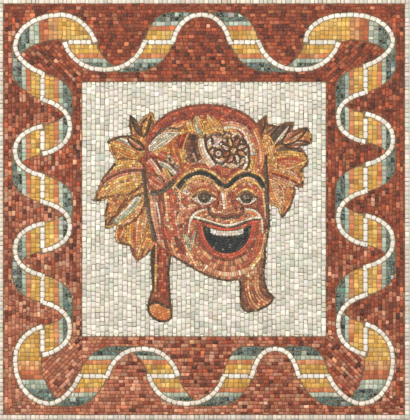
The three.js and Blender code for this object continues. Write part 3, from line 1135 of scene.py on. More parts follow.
class Side(Enum):
    """The four sides that the ribbon runs along, each with the direction outwards from the panel's centre."""

    LEFT = (-1, 0)
    BOTTOM = (0, -1)
    RIGHT = (1, 0)
    TOP = (0, 1)

    @property
    def label(self) -> str:
        """The side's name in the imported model's nodes."""
        return self.name.lower()

    @property
    def middle(self) -> float:
        """How far the band's centre line lies from the panel's centre."""
        return LAYOUT.band_u if self.value[0] else LAYOUT.band_v

    def place(self, along: Array | float, out: Array | float) -> Array:
        """Turns distances in the side's band into places on the panel.

        Args:
            along: how far along the band, in +u or +v.
            out: how far out from its centre line.

        Returns:
            The (u, v) of each place, (..., 2).
        """
        along, out = np.broadcast_arrays(np.asarray(along, float), np.asarray(out, float))
        across = self.middle + out
        if self.value[0]:
            return np.stack([self.value[0] * across, along], axis=-1)
        return np.stack([along, self.value[1] * across], axis=-1)


class RibbonStripe(Enum):
    """The colour stripes of the ribbon: piece name, marble and stones."""

    YELLOW = ("ribbon_yellow_stones", Marble.YELLOW, Stone.RIBBON_YELLOW)
    ORANGE = ("ribbon_orange_stones", Marble.ORANGE, Stone.RIBBON_ORANGE)
    LIGHT_GREEN = ("ribbon_light_green_stones", Marble.LIGHT_GREEN, Stone.LIGHT_GREEN)
    DARK_GREEN = ("ribbon_dark_green_stones", Marble.DARK_GREEN, Stone.DARK_GREEN)


WAVE = (1.35, 2.4)  # the shape of the white line's usual curve, for quarter


@dataclass
class Ribbon(Assembly):
    """The folded ribbon: forty faces in colour stripes, and the white line that snakes along them.

    face_rows are the edges of a face's rows, out from the band's centre line, and corner_rows those of a corner
    face's rows, inwards from the band's outer edge, followed by the plain rows of its yellow foot. strand_edges
    say where each strand meets the outer and the inner edge of its band, counter-clockwise from the top left.
    corners say which band the line leaves and which it joins round the corner after a side, where along the
    two it touches their edges, and the shape of the curve that it leaves by. slack is the shape of the curve
    that it joins by, and overlap how far the line's cells reach beyond its edges before they are cut.
    """

    stone: float = 9.4
    line_stone: float = 12.5
    line_joint: float = 0.3
    overlap: float = 0.6
    face_rows: tuple[float, ...] = (-4.5, 4.5, 14.25, 24, 34, 43, 52.5, 62)
    corner_rows: tuple[float, ...] = (0, 9, 17.7, 26.3, 35, 45, 55, 64.5, 74, 84, 94)
    foot_row: float = 9.0
    foot_rows: int = 13
    slack: Point = (1.25, 1.8)
    strand_edges: dict[Side, tuple[tuple[float, float], ...]] = field(default_factory=lambda: {
        Side.LEFT: ((283, 228), (173, 115), (70, 15), (-30, -87), (-138, -194), (-244, -304)),
        Side.BOTTOM: ((-260, -202), (-115, -54), (41, 100), (260, 197)),
        Side.RIGHT: ((-239, -303), (-120, -179), (-13, -74), (93, 37), (199, 140), (299, 243)),
        Side.TOP: ((211, 281), (54, 114), (-65, -124), (-226, -291)),
    })
    corners: dict[Side, tuple[Side, Side, float, float, Point]] = field(default_factory=lambda: {
        Side.LEFT: (Side.LEFT, Side.BOTTOM, -317, -323, WAVE),
        Side.BOTTOM: (Side.RIGHT, Side.BOTTOM, -316, 328, WAVE),
        Side.RIGHT: (Side.TOP, Side.RIGHT, 308, 350, (2, 2.5)),
        Side.TOP: (Side.TOP, Side.LEFT, -298, 340, (1.3, 2)),
    })
    corner_faces: dict[str, Side] = field(default_factory=lambda: {
        "ribbon_top_4_outer": Side.LEFT,
        "ribbon_top_1_outer": Side.RIGHT,
        "ribbon_left_6_outer": Side.BOTTOM,
        "ribbon_right_1_outer": Side.BOTTOM,
    })

    def stripes(self, corner: bool) -> list[tuple[float, float, RibbonStripe, Stone]]:
        """The rows of a face.

        Args:
            corner: whether it is one of the four big faces that fold round a corner.

        Returns:
            For each row its two distances out from the centre line, its stripe and its stones.
        """
        yellow, orange, light, dark = RibbonStripe
        if not corner:
            kinds = (yellow, yellow, yellow, orange, light, dark, dark)
            rows = zip(self.face_rows, self.face_rows[1:], kinds)
            return [(low, high, kind, kind.value[2]) for low, high, kind in rows]
        foot = tuple(self.corner_rows[-1] + self.foot_row * (i + 1) for i in range(self.foot_rows))
        edges = [LAYOUT.band_half - inwards for inwards in self.corner_rows + foot]
        kinds = (dark,) * 4 + (light,) * 2 + (orange,) * 4 + (yellow,) * self.foot_rows
        # the four orange rows have stones of their own, reddish ones first
        stones = {6: Stone.RED_ORANGE, 7: Stone.RED_ORANGE, 8: Stone.PALE_ORANGE, 9: Stone.PALE_ORANGE}
        return [(edges[i + 1], edges[i], kind, stones.get(i, kind.value[2])) for i, kind in enumerate(kinds)]

    def line_paths(self) -> tuple[list[Path], list[Path]]:
        """The middles of the white line's stretches.

        Along each band the line runs straight down the middle of a strand, then rounds to the outer or the
        inner edge of the band and back to the next strand. At the corners it rounds from band to band.

        Returns:
            The curved stretches and the straight ones.
        """
        curved, straight = [], []
        reach, spare = LAYOUT.band_half - LAYOUT.line_width / 2, LAYOUT.line_width / 2
        for side, edges in self.strand_edges.items():
            for i, (outer, inner) in enumerate(edges):
                low, high = min(outer, inner) - spare, max(outer, inner) + spare
                straight.append(Path(side.place(np.linspace(low, high, 9), 0.0), wander=0.0))
                if i + 1 < len(edges):
                    pick = 1 - i % 2
                    tip = -reach if pick else reach
                    curved.append(Path(arc(side, edges[i][pick], edges[i + 1][pick], tip), wander=0.0))
            curved.append(Path(self.corner_path(side, reach), wander=0.0))
        return curved, straight

    def corner_path(self, side: Side, reach: float) -> Array:
        """The line's middle round the corner that follows a side, counter-clockwise.

        A quarter curve rises from the lead band's centre line to its edge, a quarter of an ellipse turns the
        corner, and another quarter curve falls to the end band's centre line.

        Args:
            side: the side before the corner.
            reach: how far out from a band's centre line the line touches its edge.

        Returns:
            The points of the line, (n, 2).
        """
        order = (Side.LEFT, Side.BOTTOM, Side.RIGHT, Side.TOP)
        after = order[(order.index(side) + 1) % 4]
        lead, end, lead_tip, end_tip, lead_shape = self.corners[side]
        lead_from = self.strand_edges[lead][-1 if lead is side else 0][0]
        end_from = self.strand_edges[end][0 if end is after else -1][0]
        lead_touch, end_touch = lead.place(lead_tip, reach), end.place(end_tip, reach)
        turn_centre = np.where(np.array(lead.value) == 0, lead_touch, end_touch)
        rise = quarter(lead.place(lead_tip, 0), lead.place(lead_from, 0), lead_touch, lead_shape)
        turn = quarter(turn_centre, lead_touch, end_touch, (2, 2))
        fall = quarter(end.place(end_tip, 0), end.place(end_from, 0), end_touch, self.slack)[::-1]
        path = np.vstack([rise, turn[1:], fall[1:]])
        return path if lead is side else path[::-1]

    def build(self) -> None:
        """Lays the white line first, and then the stripes of each face."""
        self.lay_line()
        heaps = {stripe: (Heap(), []) for stripe in RibbonStripe}
        reach = np.array([[-LAYOUT.half_height, 0.0], [LAYOUT.half_height, 0.0]])
        for side, edges in self.strand_edges.items():
            for number in range(1, len(edges) + 1):
                for part in ("outer", "inner"):
                    node = f"ribbon_{side.label}_{number}_{part}"
                    free = self.model.area(PANEL, node)
                    along = self.corner_faces.get(node, side)
                    sign = 1 if part == "outer" or node in self.corner_faces else -1
                    for low, high, stripe, stone in self.stripes(node in self.corner_faces):
                        cells = Path(reach).row(sign * low, sign * high, self.stone, self.rng)
                        cells = along.place(cells[..., 0], cells[..., 1])
                        outlines = cut_cells(PANEL, cells, free, LAYOUT.joint, self.rng)
                        if len(outlines):
                            heaps[stripe][0].add(outlines, stone, self.rng)
                            heaps[stripe][1].append(node)
        for stripe, (heap, nodes) in heaps.items():
            name, marble, _ = stripe.value
            self.finish(heap, name, marble, "yellow_marble", tuple(dict.fromkeys(nodes)))

    def lay_line(self) -> None:
        """Lays the white line, with small nipped stones in the wedges that its stretches leave."""
        line = Heap()
        free = self.model.area(PANEL, "ribbon_white_line")
        half = LAYOUT.line_width / 2 + self.overlap
        for paths in self.line_paths():
            for path in paths:
                cells = path.row(-half, half, self.line_stone, self.rng)
                line.add(cut_cells(PANEL, cells, free, self.line_joint, self.rng), Stone.LINE, self.rng)
                free &= ~PANEL.fill_cells(cells)
        reach, pitch, length, turn, least = 440, 5.5, 7.0, 0.5, 2.5
        wedges = straight_rows(even_edges(-reach, reach, pitch), (-reach, reach), length, turn, self.rng)
        line.add(cut_cells(PANEL, wedges, free, self.line_joint, self.rng, least), Stone.LINE, self.rng)
        self.finish(line, "ribbon_line_stones", Marble.WHITE, "white_marble", ("ribbon_white_line",))


def quarter(centre: Array, start: Array, tip: Array, shape: tuple[float, float], steps: int = 16) -> Array:
    """A quarter turn about a centre, from a start to a tip.

    With t from 0 to a right angle, the share towards the tip is s = sin t, and the share that remains of the
    start is (1 - s to the first power of the shape) to one over its second power.

    Args:
        centre: the place that the turn goes about.
        start: where it starts.
        tip: where it ends, touching the band's edge.
        shape: the two powers.
        steps: the number of steps.

    Returns:
        The points, (steps + 1, 2).
    """
    out = np.sin(np.linspace(0, np.pi / 2, steps + 1))[:, None]
    along = np.maximum(1 - out ** shape[0], 0) ** (1 / shape[1])
    return centre + (start - centre) * along + (tip - centre) * out


def arc(side: Side, start: float, stop: float, reach: float) -> Array:
    """The line's middle from one strand to the next, round by the band's edge.

    Args:
        side: the band's side.
        start: where it leaves the one strand, along the band.
        stop: where it joins the other.
        reach: how far out it swings from the centre line, negative inwards.

    Returns:
        The points, (n, 2).
    """
    middle = (start + stop) / 2
    centre, tip = side.place(middle, 0), side.place(middle, reach)
    first = quarter(centre, side.place(start, 0), tip, WAVE)
    second = quarter(centre, side.place(stop, 0), tip, WAVE)[::-1]
    return np.vstack([first, second[1:]])


@dataclass
class WhiteField(Assembly):
    """The white field in upright rows that run up to the mask. reach is how far they run from the centre."""

    pitch: float = 9.4
    stone: float = 11.8
    reach: float = 340.0

    def build(self) -> None:
        """Lays upright rows over the whole field."""
        free = self.model.area(PANEL, "white_field")
        edges = even_edges(-LAYOUT.field_half_width, LAYOUT.field_half_width, self.pitch)
        cells = straight_rows(edges, (-self.reach, self.reach), self.stone, np.pi / 2, self.rng)
        heap = Heap()
        heap.add(cut_cells(PANEL, cells, free, LAYOUT.joint, self.rng), Stone.FIELD, self.rng)
        self.finish(heap, "field_stones", Marble.WHITE, "white_marble", ("white_field",))


def smooth(knots: tuple[Point, ...], steps: int = 10) -> Array:
    """A smooth line through knots.

    Between two knots the line is the cubic whose slope at each knot is half the step between that knot's
    two neighbours. The ends count as their own neighbours.

    Args:
        knots: the knots' (u, v).
        steps: the number of steps between two knots.

    Returns:
        The points, (n, 2).
    """
    points = np.array(knots, float)
    around = np.pad(points, ((1, 1), (0, 0)), mode="edge")
    before, start, stop, beyond = (around[i : len(around) - 3 + i, None] for i in range(4))
    t = (np.arange(steps) / steps)[None, :, None]
    line = 0.5 * (
        2 * start
        + (stop - before) * t
        + (2 * before - 5 * start + 4 * stop - beyond) * t**2
        + (3 * start - before - 3 * stop + beyond) * t**3
    )
    return np.vstack([line.reshape(-1, 2), points[-1:]])


def oval(centre: Point, half: Point, start: float = 0.0, stop: float = 360.0) -> Array:
    """Points on an ellipse between two angles in degrees, which may run either way."""
    turn = np.radians(np.linspace(start, stop, 49))
    return np.array(centre) + np.stack([np.cos(turn) * half[0], np.sin(turn) * half[1]], axis=1)


@dataclass(frozen=True)
class Leaf:
    """A pointed leaf: its base and tip, half its width, how far its rib bows to the left, and its stones.

    left and right name the stones of its flesh from the rib outwards, rim those of its edge, and rib those
    of the row along its middle. It is fullest at its middle at 1, and nearer its base at less.
    """

    base: Point
    tip: Point
    half: float
    bow: float
    left: str
    right: str
    rim: str
    rib: str
    fullest: float = 0.8

    def midrib(self) -> Array:
        """The rib's line: from base to tip, moved aside by a parabola of the bow's height.

        Returns:
            The points, (25, 2).
        """
        t = np.linspace(0, 1, 25)[:, None]
        base, tip = np.array(self.base, float), np.array(self.tip, float)
        ahead = (tip - base) / np.linalg.norm(tip - base)
        return base + (tip - base) * t + np.array([-ahead[1], ahead[0]]) * self.bow * 4 * t * (1 - t)

    def outline(self) -> Array:
        """The leaf's edge: the rib moved to each side by a width that grows and shrinks again.

        With t from 0 at the base to 1 at the tip, the width is the half width times the 0.8th power of the
        sine of pi times t to the power of fullest.

        Returns:
            The points, counter-clockwise, (48, 2).
        """
        rib = self.midrib()
        t = np.linspace(0, 1, len(rib))[:, None]
        left = leftward(rib)
        width = self.half * np.maximum(np.sin(np.pi * t**self.fullest), 0) ** 0.8
        return np.vstack([rib - left * width, (rib + left * width)[-2:0:-1]])


MASK_PIECES = {
    "strap_left": (Marble.BROWN, "brown_marble"),
    "strap_right": (Marble.BROWN, "brown_marble"),
    "leaves_left": (Marble.OCHRE, "ochre_marble"),
    "leaves_right": (Marble.OCHRE, "ochre_marble"),
    "mask_crown": (Marble.RED, "red_marble"),
    "mask_fillet": (Marble.YELLOW, "yellow_marble"),
    "mask_curls": (Marble.OCHRE, "ochre_marble"),
    "mask_face": (Marble.TERRACOTTA, "terracotta_marble"),
    "mask_jaw": (Marble.TERRACOTTA, "terracotta_marble"),
    "mask_brows": (Marble.DARK, "dark_marble"),
    "mask_eye_left": (Marble.WHITE, "white_marble"),
    "mask_eye_right": (Marble.WHITE, "white_marble"),
    "mask_mouth": (Marble.DARK, "dark_marble"),
    "mask_teeth": (Marble.WHITE, "white_marble"),
}


@dataclass
class Mask(Assembly):
    """The leaf-crowned theatre mask in small stones, laid freely: what is laid first keeps its place.

    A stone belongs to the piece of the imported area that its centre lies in, so that rows may cross from one
    area to the next without a seam.

    width and stone are the usual size of a stone, and rim the width of the row that edges a leaf or the
    silhouette. ring and ring_stone are the same sizes in a blossom's rings. reach is how far straight rows run
    from the field's centre. Each eye has its middle and half its length, and lips are half the mouth's size.
    """

    width: float = 5.0
    stone: float = 6.2
    joint: float = 0.35
    least: float = 2.0
    rim: float = 4.2
    ring: float = 4.0
    ring_stone: float = 4.6
    reach: float = 380.0
    eyes: tuple[tuple[Point, float], ...] = (((0, 25), 26), ((88, 25), 22))
    mouth: Point = (48, -34)
    lips: Point = (50, 58)
    heaps: dict[str, Heap] = field(init=False)
    owner: Array = field(init=False)
    free: Array = field(init=False)
    limit: Array = field(init=False)

    def build(self) -> None:
        """Lays every part, the foremost first, and makes one piece for each packed area."""
        self.heaps = {node: Heap() for node in MASK_PIECES}
        self.owner = np.zeros(FIELD.shape, np.int8)
        for number, node in enumerate(MASK_PIECES, 1):
            self.owner[self.model.area(FIELD, node)] = number
        white = self.model.area(FIELD, "white_field")
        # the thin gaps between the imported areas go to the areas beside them, and the white field keeps its edge
        ways = ((0, 1), (0, -1), (1, 1), (1, -1))
        for axis, step in ways * 2:
            self.owner = np.where(self.owner == 0, np.roll(self.owner, step, axis), self.owner)
        for axis, step in ways:
            white = white | np.roll(white, step, axis)
        self.free = (self.owner > 0) & ~white
        self.keep_to(*MASK_PIECES)
        self.contour()
        self.eyes_and_brows()
        self.mouth_and_nose()
        self.hair()
        self.straps()
        self.leaves()
        self.face()
        for node, (marble, slot) in MASK_PIECES.items():
            self.finish(self.heaps[node], f"{node}_stones", marble, slot, (node,))

    def keep_to(self, *nodes: str) -> None:
        """Limits what is laid next to the areas of some nodes."""
        self.limit = np.isin(self.owner, [list(MASK_PIECES).index(node) + 1 for node in nodes])

    def lay(self, stone: str, cells: Array, within: Array | None = None) -> None:
        """Cuts cells to what is free, adds the stones to their pieces, and takes up their place.

        Args:
            stone: the name of the stones' sort.
            cells: four-cornered cells, (n, 4, 2).
            within: a mask that the stones stay in, besides the limit.
        """
        room = self.limit if within is None else self.limit & within
        stones = cut_cells(FIELD, cells, self.free & room, self.joint, self.rng, self.least)
        self.free &= ~(FIELD.fill_cells(cells) & room)
        owner = FIELD.sample(self.owner, stones.mean(axis=1))
        for number, heap in enumerate(self.heaps.values(), 1):
            heap.add(stones[owner == number], Stone[stone.upper()], self.rng)

    def rows(self, stones: str, line: Array, width: float | None = None) -> None:
        """Lays rows side by side along a line, from its right to its left.

        Args:
            stones: the stones' sorts, one for each row.
            line: the points of the rows' middle line, (n, 2).
            width: the width of a row, if it isn't the usual one.
        """
        names, path, width = stones.split(), Path(line), width or self.width
        for i, stone in enumerate(names):
            near = (i - len(names) / 2) * width
            self.lay(stone, path.row(near, near + width, self.stone, self.rng))

    def stroke(self, stones: str, *knots: Point, width: float | None = None) -> None:
        """Lays rows along a smooth line through knots."""
        self.rows(stones, smooth(knots), width)

    def fill(self, stone: str, turn: float, *corners: Point) -> None:
        """Fills what is still free of the limit, or of an outline in it, with straight rows.

        Args:
            stone: the name of the stones' sort.
            turn: the angle of the rows from +u, in radians.
            corners: the outline's points, if there is one.
        """
        edges = even_edges(-self.reach, self.reach, self.width)
        cells = straight_rows(edges, (-self.reach, self.reach), self.stone, turn, self.rng)
        self.lay(stone, cells, FIELD.fill_outline(corners) if corners else None)

    def blossom(self, centre: Point, radius: float, stones: str) -> None:
        """Lays rings one inside another, from the outermost.

        Args:
            centre: the rings' middle.
            radius: the outermost ring's outer radius.
            stones: the stones' sorts, one for each ring.
        """
        for i, stone in enumerate(stones.split()):
            reach = radius - self.ring * i
            circle = Path(oval(centre, (reach, reach))[:-1], closed=True)
            self.lay(stone, circle.row(0.0, min(self.ring, reach - 0.5), self.ring_stone, self.rng))

    def leaf(self, leaf: Leaf) -> None:
        """Lays a leaf: its rim, its rib, and rows along the rib on both sides.

        Args:
            leaf: the leaf's shape and stones.
        """
        outline, rib = leaf.outline(), Path(leaf.midrib())
        within, half = FIELD.fill_outline(outline), self.rim / 2
        self.lay(leaf.rim, Path(outline, closed=True).row(0.0, self.rim - 0.4, self.stone, self.rng), within)
        self.lay(leaf.rib, rib.row(-half, half, self.stone, self.rng), within)
        for side, names in ((1, leaf.left.split()), (-1, leaf.right.split())):
            for i in range(int((leaf.half + abs(leaf.bow)) / self.width) + 1):
                near = side * (half + i * self.width)
                cells = rib.row(near, near + side * self.width, self.stone, self.rng)
                self.lay(names[min(i, len(names) - 1)], cells, within)

    def contour(self) -> None:
        """Lays a row inside the silhouette.

        It is dark, but dark red round the crown, and along the leaves slow noise makes stretches of it amber
        where it is high, and brown where it is low.
        """
        outline = Path(self.model.outline("white_field", hole=True), closed=True)
        cells = outline.row(0.0, -self.rim, self.stone, self.rng)
        middle = cells.mean(axis=1)
        pieces = list(MASK_PIECES)
        owner = FIELD.sample(self.owner, middle) - 1
        crown = owner == pieces.index("mask_crown")
        leafy = (owner == pieces.index("leaves_left")) | (owner == pieces.index("leaves_right"))
        drift, high, low = slow_noise(middle, scale=75.0, seed=55), 0.62, 0.4
        pale, warm = leafy & (drift > high), leafy & (drift < low)
        dark = ~(crown | pale | warm)
        for stone, there in (("ink", dark), ("maroon", crown), ("amber", pale), ("brown", warm)):
            self.lay(stone, cells[there])

    def straps(self) -> None:
        """Lays the left strap's yellow side, red body and orange foot, and the right strap's long rows."""
        self.keep_to("strap_left")
        self.stroke("ink amber", (-102, -70), (-103, -130), (-104, -172))
        self.stroke("ink maroon", (-118, -198), (-98, -190), (-84, -198), (-62, -206))
        self.fill("orange", 0.3, (-130, -250), (-50, -250), (-50, -208), (-84, -198), (-98, -190), (-130, -200))
        for i, stone in enumerate(("maroon", "strap", "red", "strap", "maroon", "strap")):
            self.stroke(stone, (-97 + 5 * i, -60), (-97 + 5 * i, -150), (-104 + 7 * i, -215))
        self.fill("strap", np.pi / 2)
        self.keep_to("strap_right")
        for i, stone in enumerate(("brown", "jaw", "sand", "face", "jaw", "sand", "jaw", "brown")):
            u = self.width * i
            foot = ((88 + 6 * i, -196 + 2 * i), (104 + 6 * i, -216 + 4 * i))
            self.stroke(stone, (84 + u, -110), (82 + u, -160), *foot)
        self.fill("brown", np.pi / 2)

    def leaves(self) -> None:
        """Lays the vine leaves on both sides of the head, and the stems and folds between them."""
        self.keep_to("leaves_left", "leaves_right", "mask_crown")
        for leaf in (
            Leaf((-126, 148), (-109, 204), 10, 3, "amber slate", "slate", "ink", "amber"),
            Leaf((-128, 150), (-155, 198), 10, -3, "slate", "amber", "ink", "slate"),
            Leaf((-122, 124), (-162, 152), 10, 2, "terracotta", "brown", "ink", "pink"),
            Leaf((-124, 36), (-206, -42), 20, 10, "amber sand", "sage cream amber", "brown", "sage"),
            Leaf((-124, 112), (-202, 145), 24, -4, "amber amber orange", "sage cream amber", "amber", "orange"),
            Leaf(
                (-116, 70), (-231, 14), 40, -22, "amber sand amber", "pink brown pink amber", "brown", "amber", 0.7
            ),
            Leaf((-150, 2), (-207, -43), 15, 4, "red pink", "maroon", "ink", "dusk", 1.0),
            Leaf(
                (-118, 44), (-140, -112), 30, -14, "sand orange sand", "orange amber", "amber", "terracotta", 0.6
            ),
            Leaf((-134, 30), (-185, -70), 26, 0, "sand orange sand", "orange sand amber", "brown", "red", 0.7),
            Leaf((136, 126), (186, 183), 14, 4, "slate", "cream sage", "ink", "slate"),
            Leaf((160, 134), (220, 171), 14, 2, "pink", "sand", "ink", "brown"),
            Leaf((164, 132), (226, 138), 10, 0, "cream", "pink", "ink", "brown"),
            Leaf((112, 150), (129, 197), 10, 2, "slate", "brown orange", "ink", "brown"),
            Leaf((122, 140), (152, 174), 10, -3, "terracotta", "orange", "slate", "orange"),
            Leaf((140, 104), (219, 100), 27, 8, "amber amber slate", "red terracotta", "amber", "amber"),
            Leaf((124, 66), (164, -21), 36, -8, "sand orange sand", "sand sand amber", "sand", "pink", 0.7),
            Leaf((136, 76), (208, 45), 25, 4, "orange sand", "pink sand", "terracotta", "maroon"),
        ):
            self.leaf(leaf)
        self.stroke("red maroon red", (-98, 4), (-98, -40), (-100, -76))
        self.stroke("red pink cream pink", (-118, 112), (-122, 84), (-120, 56))
        self.keep_to("leaves_left", "leaves_right")
        self.fill("leaf", 1.1)

    def hair(self) -> None:
        """Lays the crown's dome, the locks, the flowers, and the amber band that ties them."""
        head = ("mask_crown", "mask_fillet", "mask_curls", "mask_face", "leaves_left", "leaves_right")
        self.keep_to(*head)
        self.stroke("slate ink", (-126, 84), (-124, 56), (-118, 10), (-112, -20), (-101, -66), width=4.0)
        self.stroke("slate ink", (-112, 34), (-96, 34), (-78, 44), (-62, 60))
        self.leaf(Leaf((-80, 44), (-120, 74), 17, 3, "pink terracotta", "terracotta pink", "brown", "red"))
        self.stroke("red pink cream maroon", (-114, 104), (-104, 92), (-94, 76))
        self.stroke("slate", (-114, 136), (-96, 158), (-72, 169), (-48, 165), width=4.0)
        self.leaf(Leaf((-116, 120), (-50, 160), 13, 6, "cream", "cream sage", "cream", "sage"))
        self.stroke("orange sand amber amber amber", (-24, 176), (-56, 166), (-86, 146), (-108, 118))
        self.stroke("maroon red pink red", (-116, 112), (-98, 116), (-80, 106))
        self.stroke("sage cream slate", (-96, 100), (-76, 92), (-58, 74))
        self.stroke("amber amber ink", (-82, 88), (-70, 66))
        self.stroke("maroon red maroon", (-22, 202), (-38, 172), (-54, 128))
        self.stroke("amber amber", (-30, 166), (-46, 134), (-42, 96))
        self.stroke("terracotta orange terracotta orange", (-62, 164), (-62, 130), (-50, 100), (-30, 84))
        self.stroke("brown dusk dusk ink dusk", (-24, 156), (-26, 128), (-16, 100))
        self.leaf(Leaf((-2, 148), (-18, 200), 12, 2, "sage", "amber", "amber", "sage"))
        self.leaf(Leaf((40, 160), (6, 198), 11, 2, "amber sand", "amber", "amber", "sand"))
        self.stroke("ink cream cream sand", (20, 90), (0, 120), (-6, 154))
        self.stroke("pink sand cream", (98, 138), (84, 166), (54, 176), (22, 166))
        self.stroke("ink cream sage", (84, 150), (96, 136), (100, 112))
        self.stroke("cream ink", (90, 112), (92, 96), (84, 82))
        self.blossom((30, 116), 11, "ink cream pink")
        for i, stone in enumerate("cream pink sand cream terracotta pink cream sand".split()):
            along = np.array([np.cos(0.3 + i * np.pi / 4), np.sin(0.3 + i * np.pi / 4)])
            self.leaf(Leaf((62, 122) + 5 * along, (62, 122) + 33 * along, 8, 2, stone, stone, "ink", stone))
        self.fill("speckle", 0.7, (0, 146), (30, 164), (74, 160), (94, 132), (94, 96), (60, 84), (22, 92))
        self.stroke("orange terracotta sand orange", (100, 166), (112, 136), (116, 104), (110, 80))
        self.stroke("slate ink", (127, 112), (130, 70), (132, 20), (135, -40), width=4.4)
        self.leaf(Leaf((130, 158), (152, 84), 15, -5, "amber sand", "amber orange", "amber", "sand"))
        self.rows("orange amber amber", oval((2, 60), (104, 122), -4, 184))
        self.keep_to("mask_crown")
        dome = Path(self.model.outline("mask_crown"), closed=True)
        for i, stone in enumerate(("red", "crown", "maroon", "crown", "red", "crown")):
            near = self.rim + self.width * i
            self.lay(stone, dome.row(near, near + self.width, self.stone, self.rng))
        self.fill("crown", 0.0)
        self.keep_to("mask_fillet")
        self.fill("amber", 0.4)
        self.keep_to("mask_curls")
        self.fill("curls", 0.6)

    def eyes_and_brows(self) -> None:
        """Lays the brows, and in each eye a dark iris under a lid, with bands over and under it."""
        brow = ((-54, 44), (-38, 64), (-10, 76), (20, 66), (44, 46), (66, 63), (90, 72), (112, 64), (124, 46))
        self.stroke("ink ink", *brow, width=4.2)
        self.stroke("amber sand", *((u, v - 9) for u, v in brow))
        for (u, v), reach in self.eyes:
            self.keep_to("mask_eye_left", "mask_eye_right")
            lid = ((-reach, 0), (-reach / 2, 11), (0, 14), (reach / 2, 11), (reach, 0))
            self.stroke("brown brown", *((u + x, v + y) for x, y in lid))
            self.blossom((u + 1, v + 2), 14, "ink ink slate ink")
            self.keep_to("mask_face")
            for stones, lift, width in (("maroon amber red", 17, 4.4), ("cream maroon", -17, 4.2)):
                half = 0.76 * lift
                end = 0.2 * lift
                line = ((-reach, end), (-reach / 2, half), (0, lift), (reach / 2, half), (reach, end))
                names = stones if lift > 0 else " ".join(reversed(stones.split()))
                self.stroke(names, *((u + x, v + y) for x, y in line), width=width)
        self.keep_to("mask_eye_left", "mask_eye_right")
        self.fill("eye", 0.0)

    def lip(self, grown: float) -> Point:
        """Half the size of an ellipse that runs so far outside the lips' inner edge."""
        return self.lips[0] + grown, self.lips[1] + grown

    def mouth_and_nose(self) -> None:
        """Lays the mouth and teeth, red lips with a pale line, the nose, and the folds of the smile."""
        self.keep_to("mask_teeth")
        self.fill("teeth", 0.0)
        self.keep_to("mask_mouth")
        for i in range(10):
            self.rows("mouth", oval(self.mouth, self.lip(-2 - self.width * i), 180, 360))
        self.fill("mouth", 0.0)
        self.keep_to("mask_face", "mask_jaw", "mask_brows")
        upper = (
            (-22, -20), (-6, -24), (14, -30), (34, -36), (48, -38), (64, -36), (84, -29), (104, -22), (118, -22),
        )
        self.stroke("lip ink cream", *upper, width=4.4)
        for i, stone in enumerate(("lip", "red", "maroon")):
            self.rows(stone, oval(self.mouth, self.lip(3.2 + self.width * i), 176, 364))
        self.stroke("cream sand", (40, 42), (43, 20), (45, 0))
        self.stroke("red maroon", (28, 38), (28, 16), (22, 2))
        self.stroke("maroon red", (60, 36), (62, 16), (70, 2))
        nostrils = ((14, 4), (14, -6), (22, -12), (34, -10), (46, -16), (58, -10), (70, -12), (78, -6), (76, 4))
        self.stroke("ink maroon sand", *nostrils, width=4.4)
        self.stroke("maroon cream orange", (8, 0), (-14, -6), (-28, -22), (-32, -50))
        self.stroke("orange cream maroon", (86, 0), (106, -4), (120, -22), (122, -50))

    def face(self) -> None:
        """Lays the forehead's and the cheeks' curved rows, and round the chin the rays of long stones."""
        self.keep_to("mask_face", "mask_brows")
        brow = ((-66, 36), (-40, 66), (-10, 78), (20, 68), (44, 50), (66, 66), (90, 76), (114, 66), (130, 46))
        for i, stone in enumerate(("amber", "red", "maroon", "red", "terracotta", "red")):
            self.stroke(stone, *((u, v + 7 + 5 * i) for u, v in brow))
        self.leaf(Leaf((-66, 58), (-24, 30), 7, -3, "cream", "cream", "cream", "cream"))
        self.keep_to("mask_face", "mask_jaw")
        self.rows("terracotta pink sand", oval((-16, -22), (34, 26), 200, 60))
        for base, tip, half, stone in (
            ((-92, 24), (-86, -22), 7, "maroon"), ((-70, 34), (-62, 2), 7, "red"),
            ((-56, -4), (-46, -40), 6, "maroon"), ((-84, -34), (-70, -72), 6, "red"),
            ((-48, 22), (-40, 4), 5, "red"), ((-62, -56), (-38, -98), 6, "maroon"),
            ((106, 30), (114, -4), 6, "maroon"), ((-40, -50), (-28, -92), 5, "sage"),
        ):
            self.leaf(Leaf(base, tip, half, 2, stone, stone, stone, "terracotta" if half > 6 else stone))
        self.stroke("cream", (-100, 20), (-94, -8), (-92, -30), width=3.6)
        self.stroke("cream", (-58, 34), (-46, 14), (-42, -10), width=3.6)
        cheek = "sand pink face maroon jaw sand face red pink face sand face jaw"
        for i, stone in enumerate(cheek.split()):
            u = -108 + 6 * i
            fall = ((u - 4, 40), (u + 2, -20), (u + 10, -70), (u + 26, -110), (u + 44, -140))
            self.stroke(stone, *fall, width=6.2)
        for i, stone in enumerate(("amber", "sand", "red", "terracotta", "red")):
            u = 131 - 5 * i
            self.stroke(stone, (u - 6, 60), (u, 10), (u + 2, -40), (u - 8, -90), (u - 30, -120))
        self.keep_to("mask_jaw")
        self.stroke("cream sage", (-16, -34), (-25, -66), (-20, -100), (-4, -130))
        start = 16.4
        for stone, width in (("ray", 12.0), ("ray", 12.0), ("pale_ray", 11.0)):
            half = (self.lips[0] - 4 + start, self.lips[1] - 2 + start)
            line = oval((self.mouth[0] + 3, self.mouth[1]), half, 150, 390)
            self.lay(stone, Path(line).row(-width, 0.0, self.ring_stone, self.rng))
            start += width
        self.fill("jaw", 1.57)
        self.keep_to("mask_face")
        self.fill("face", 1.3)
        self.keep_to(*MASK_PIECES)
        self.fill("face", 0.8)


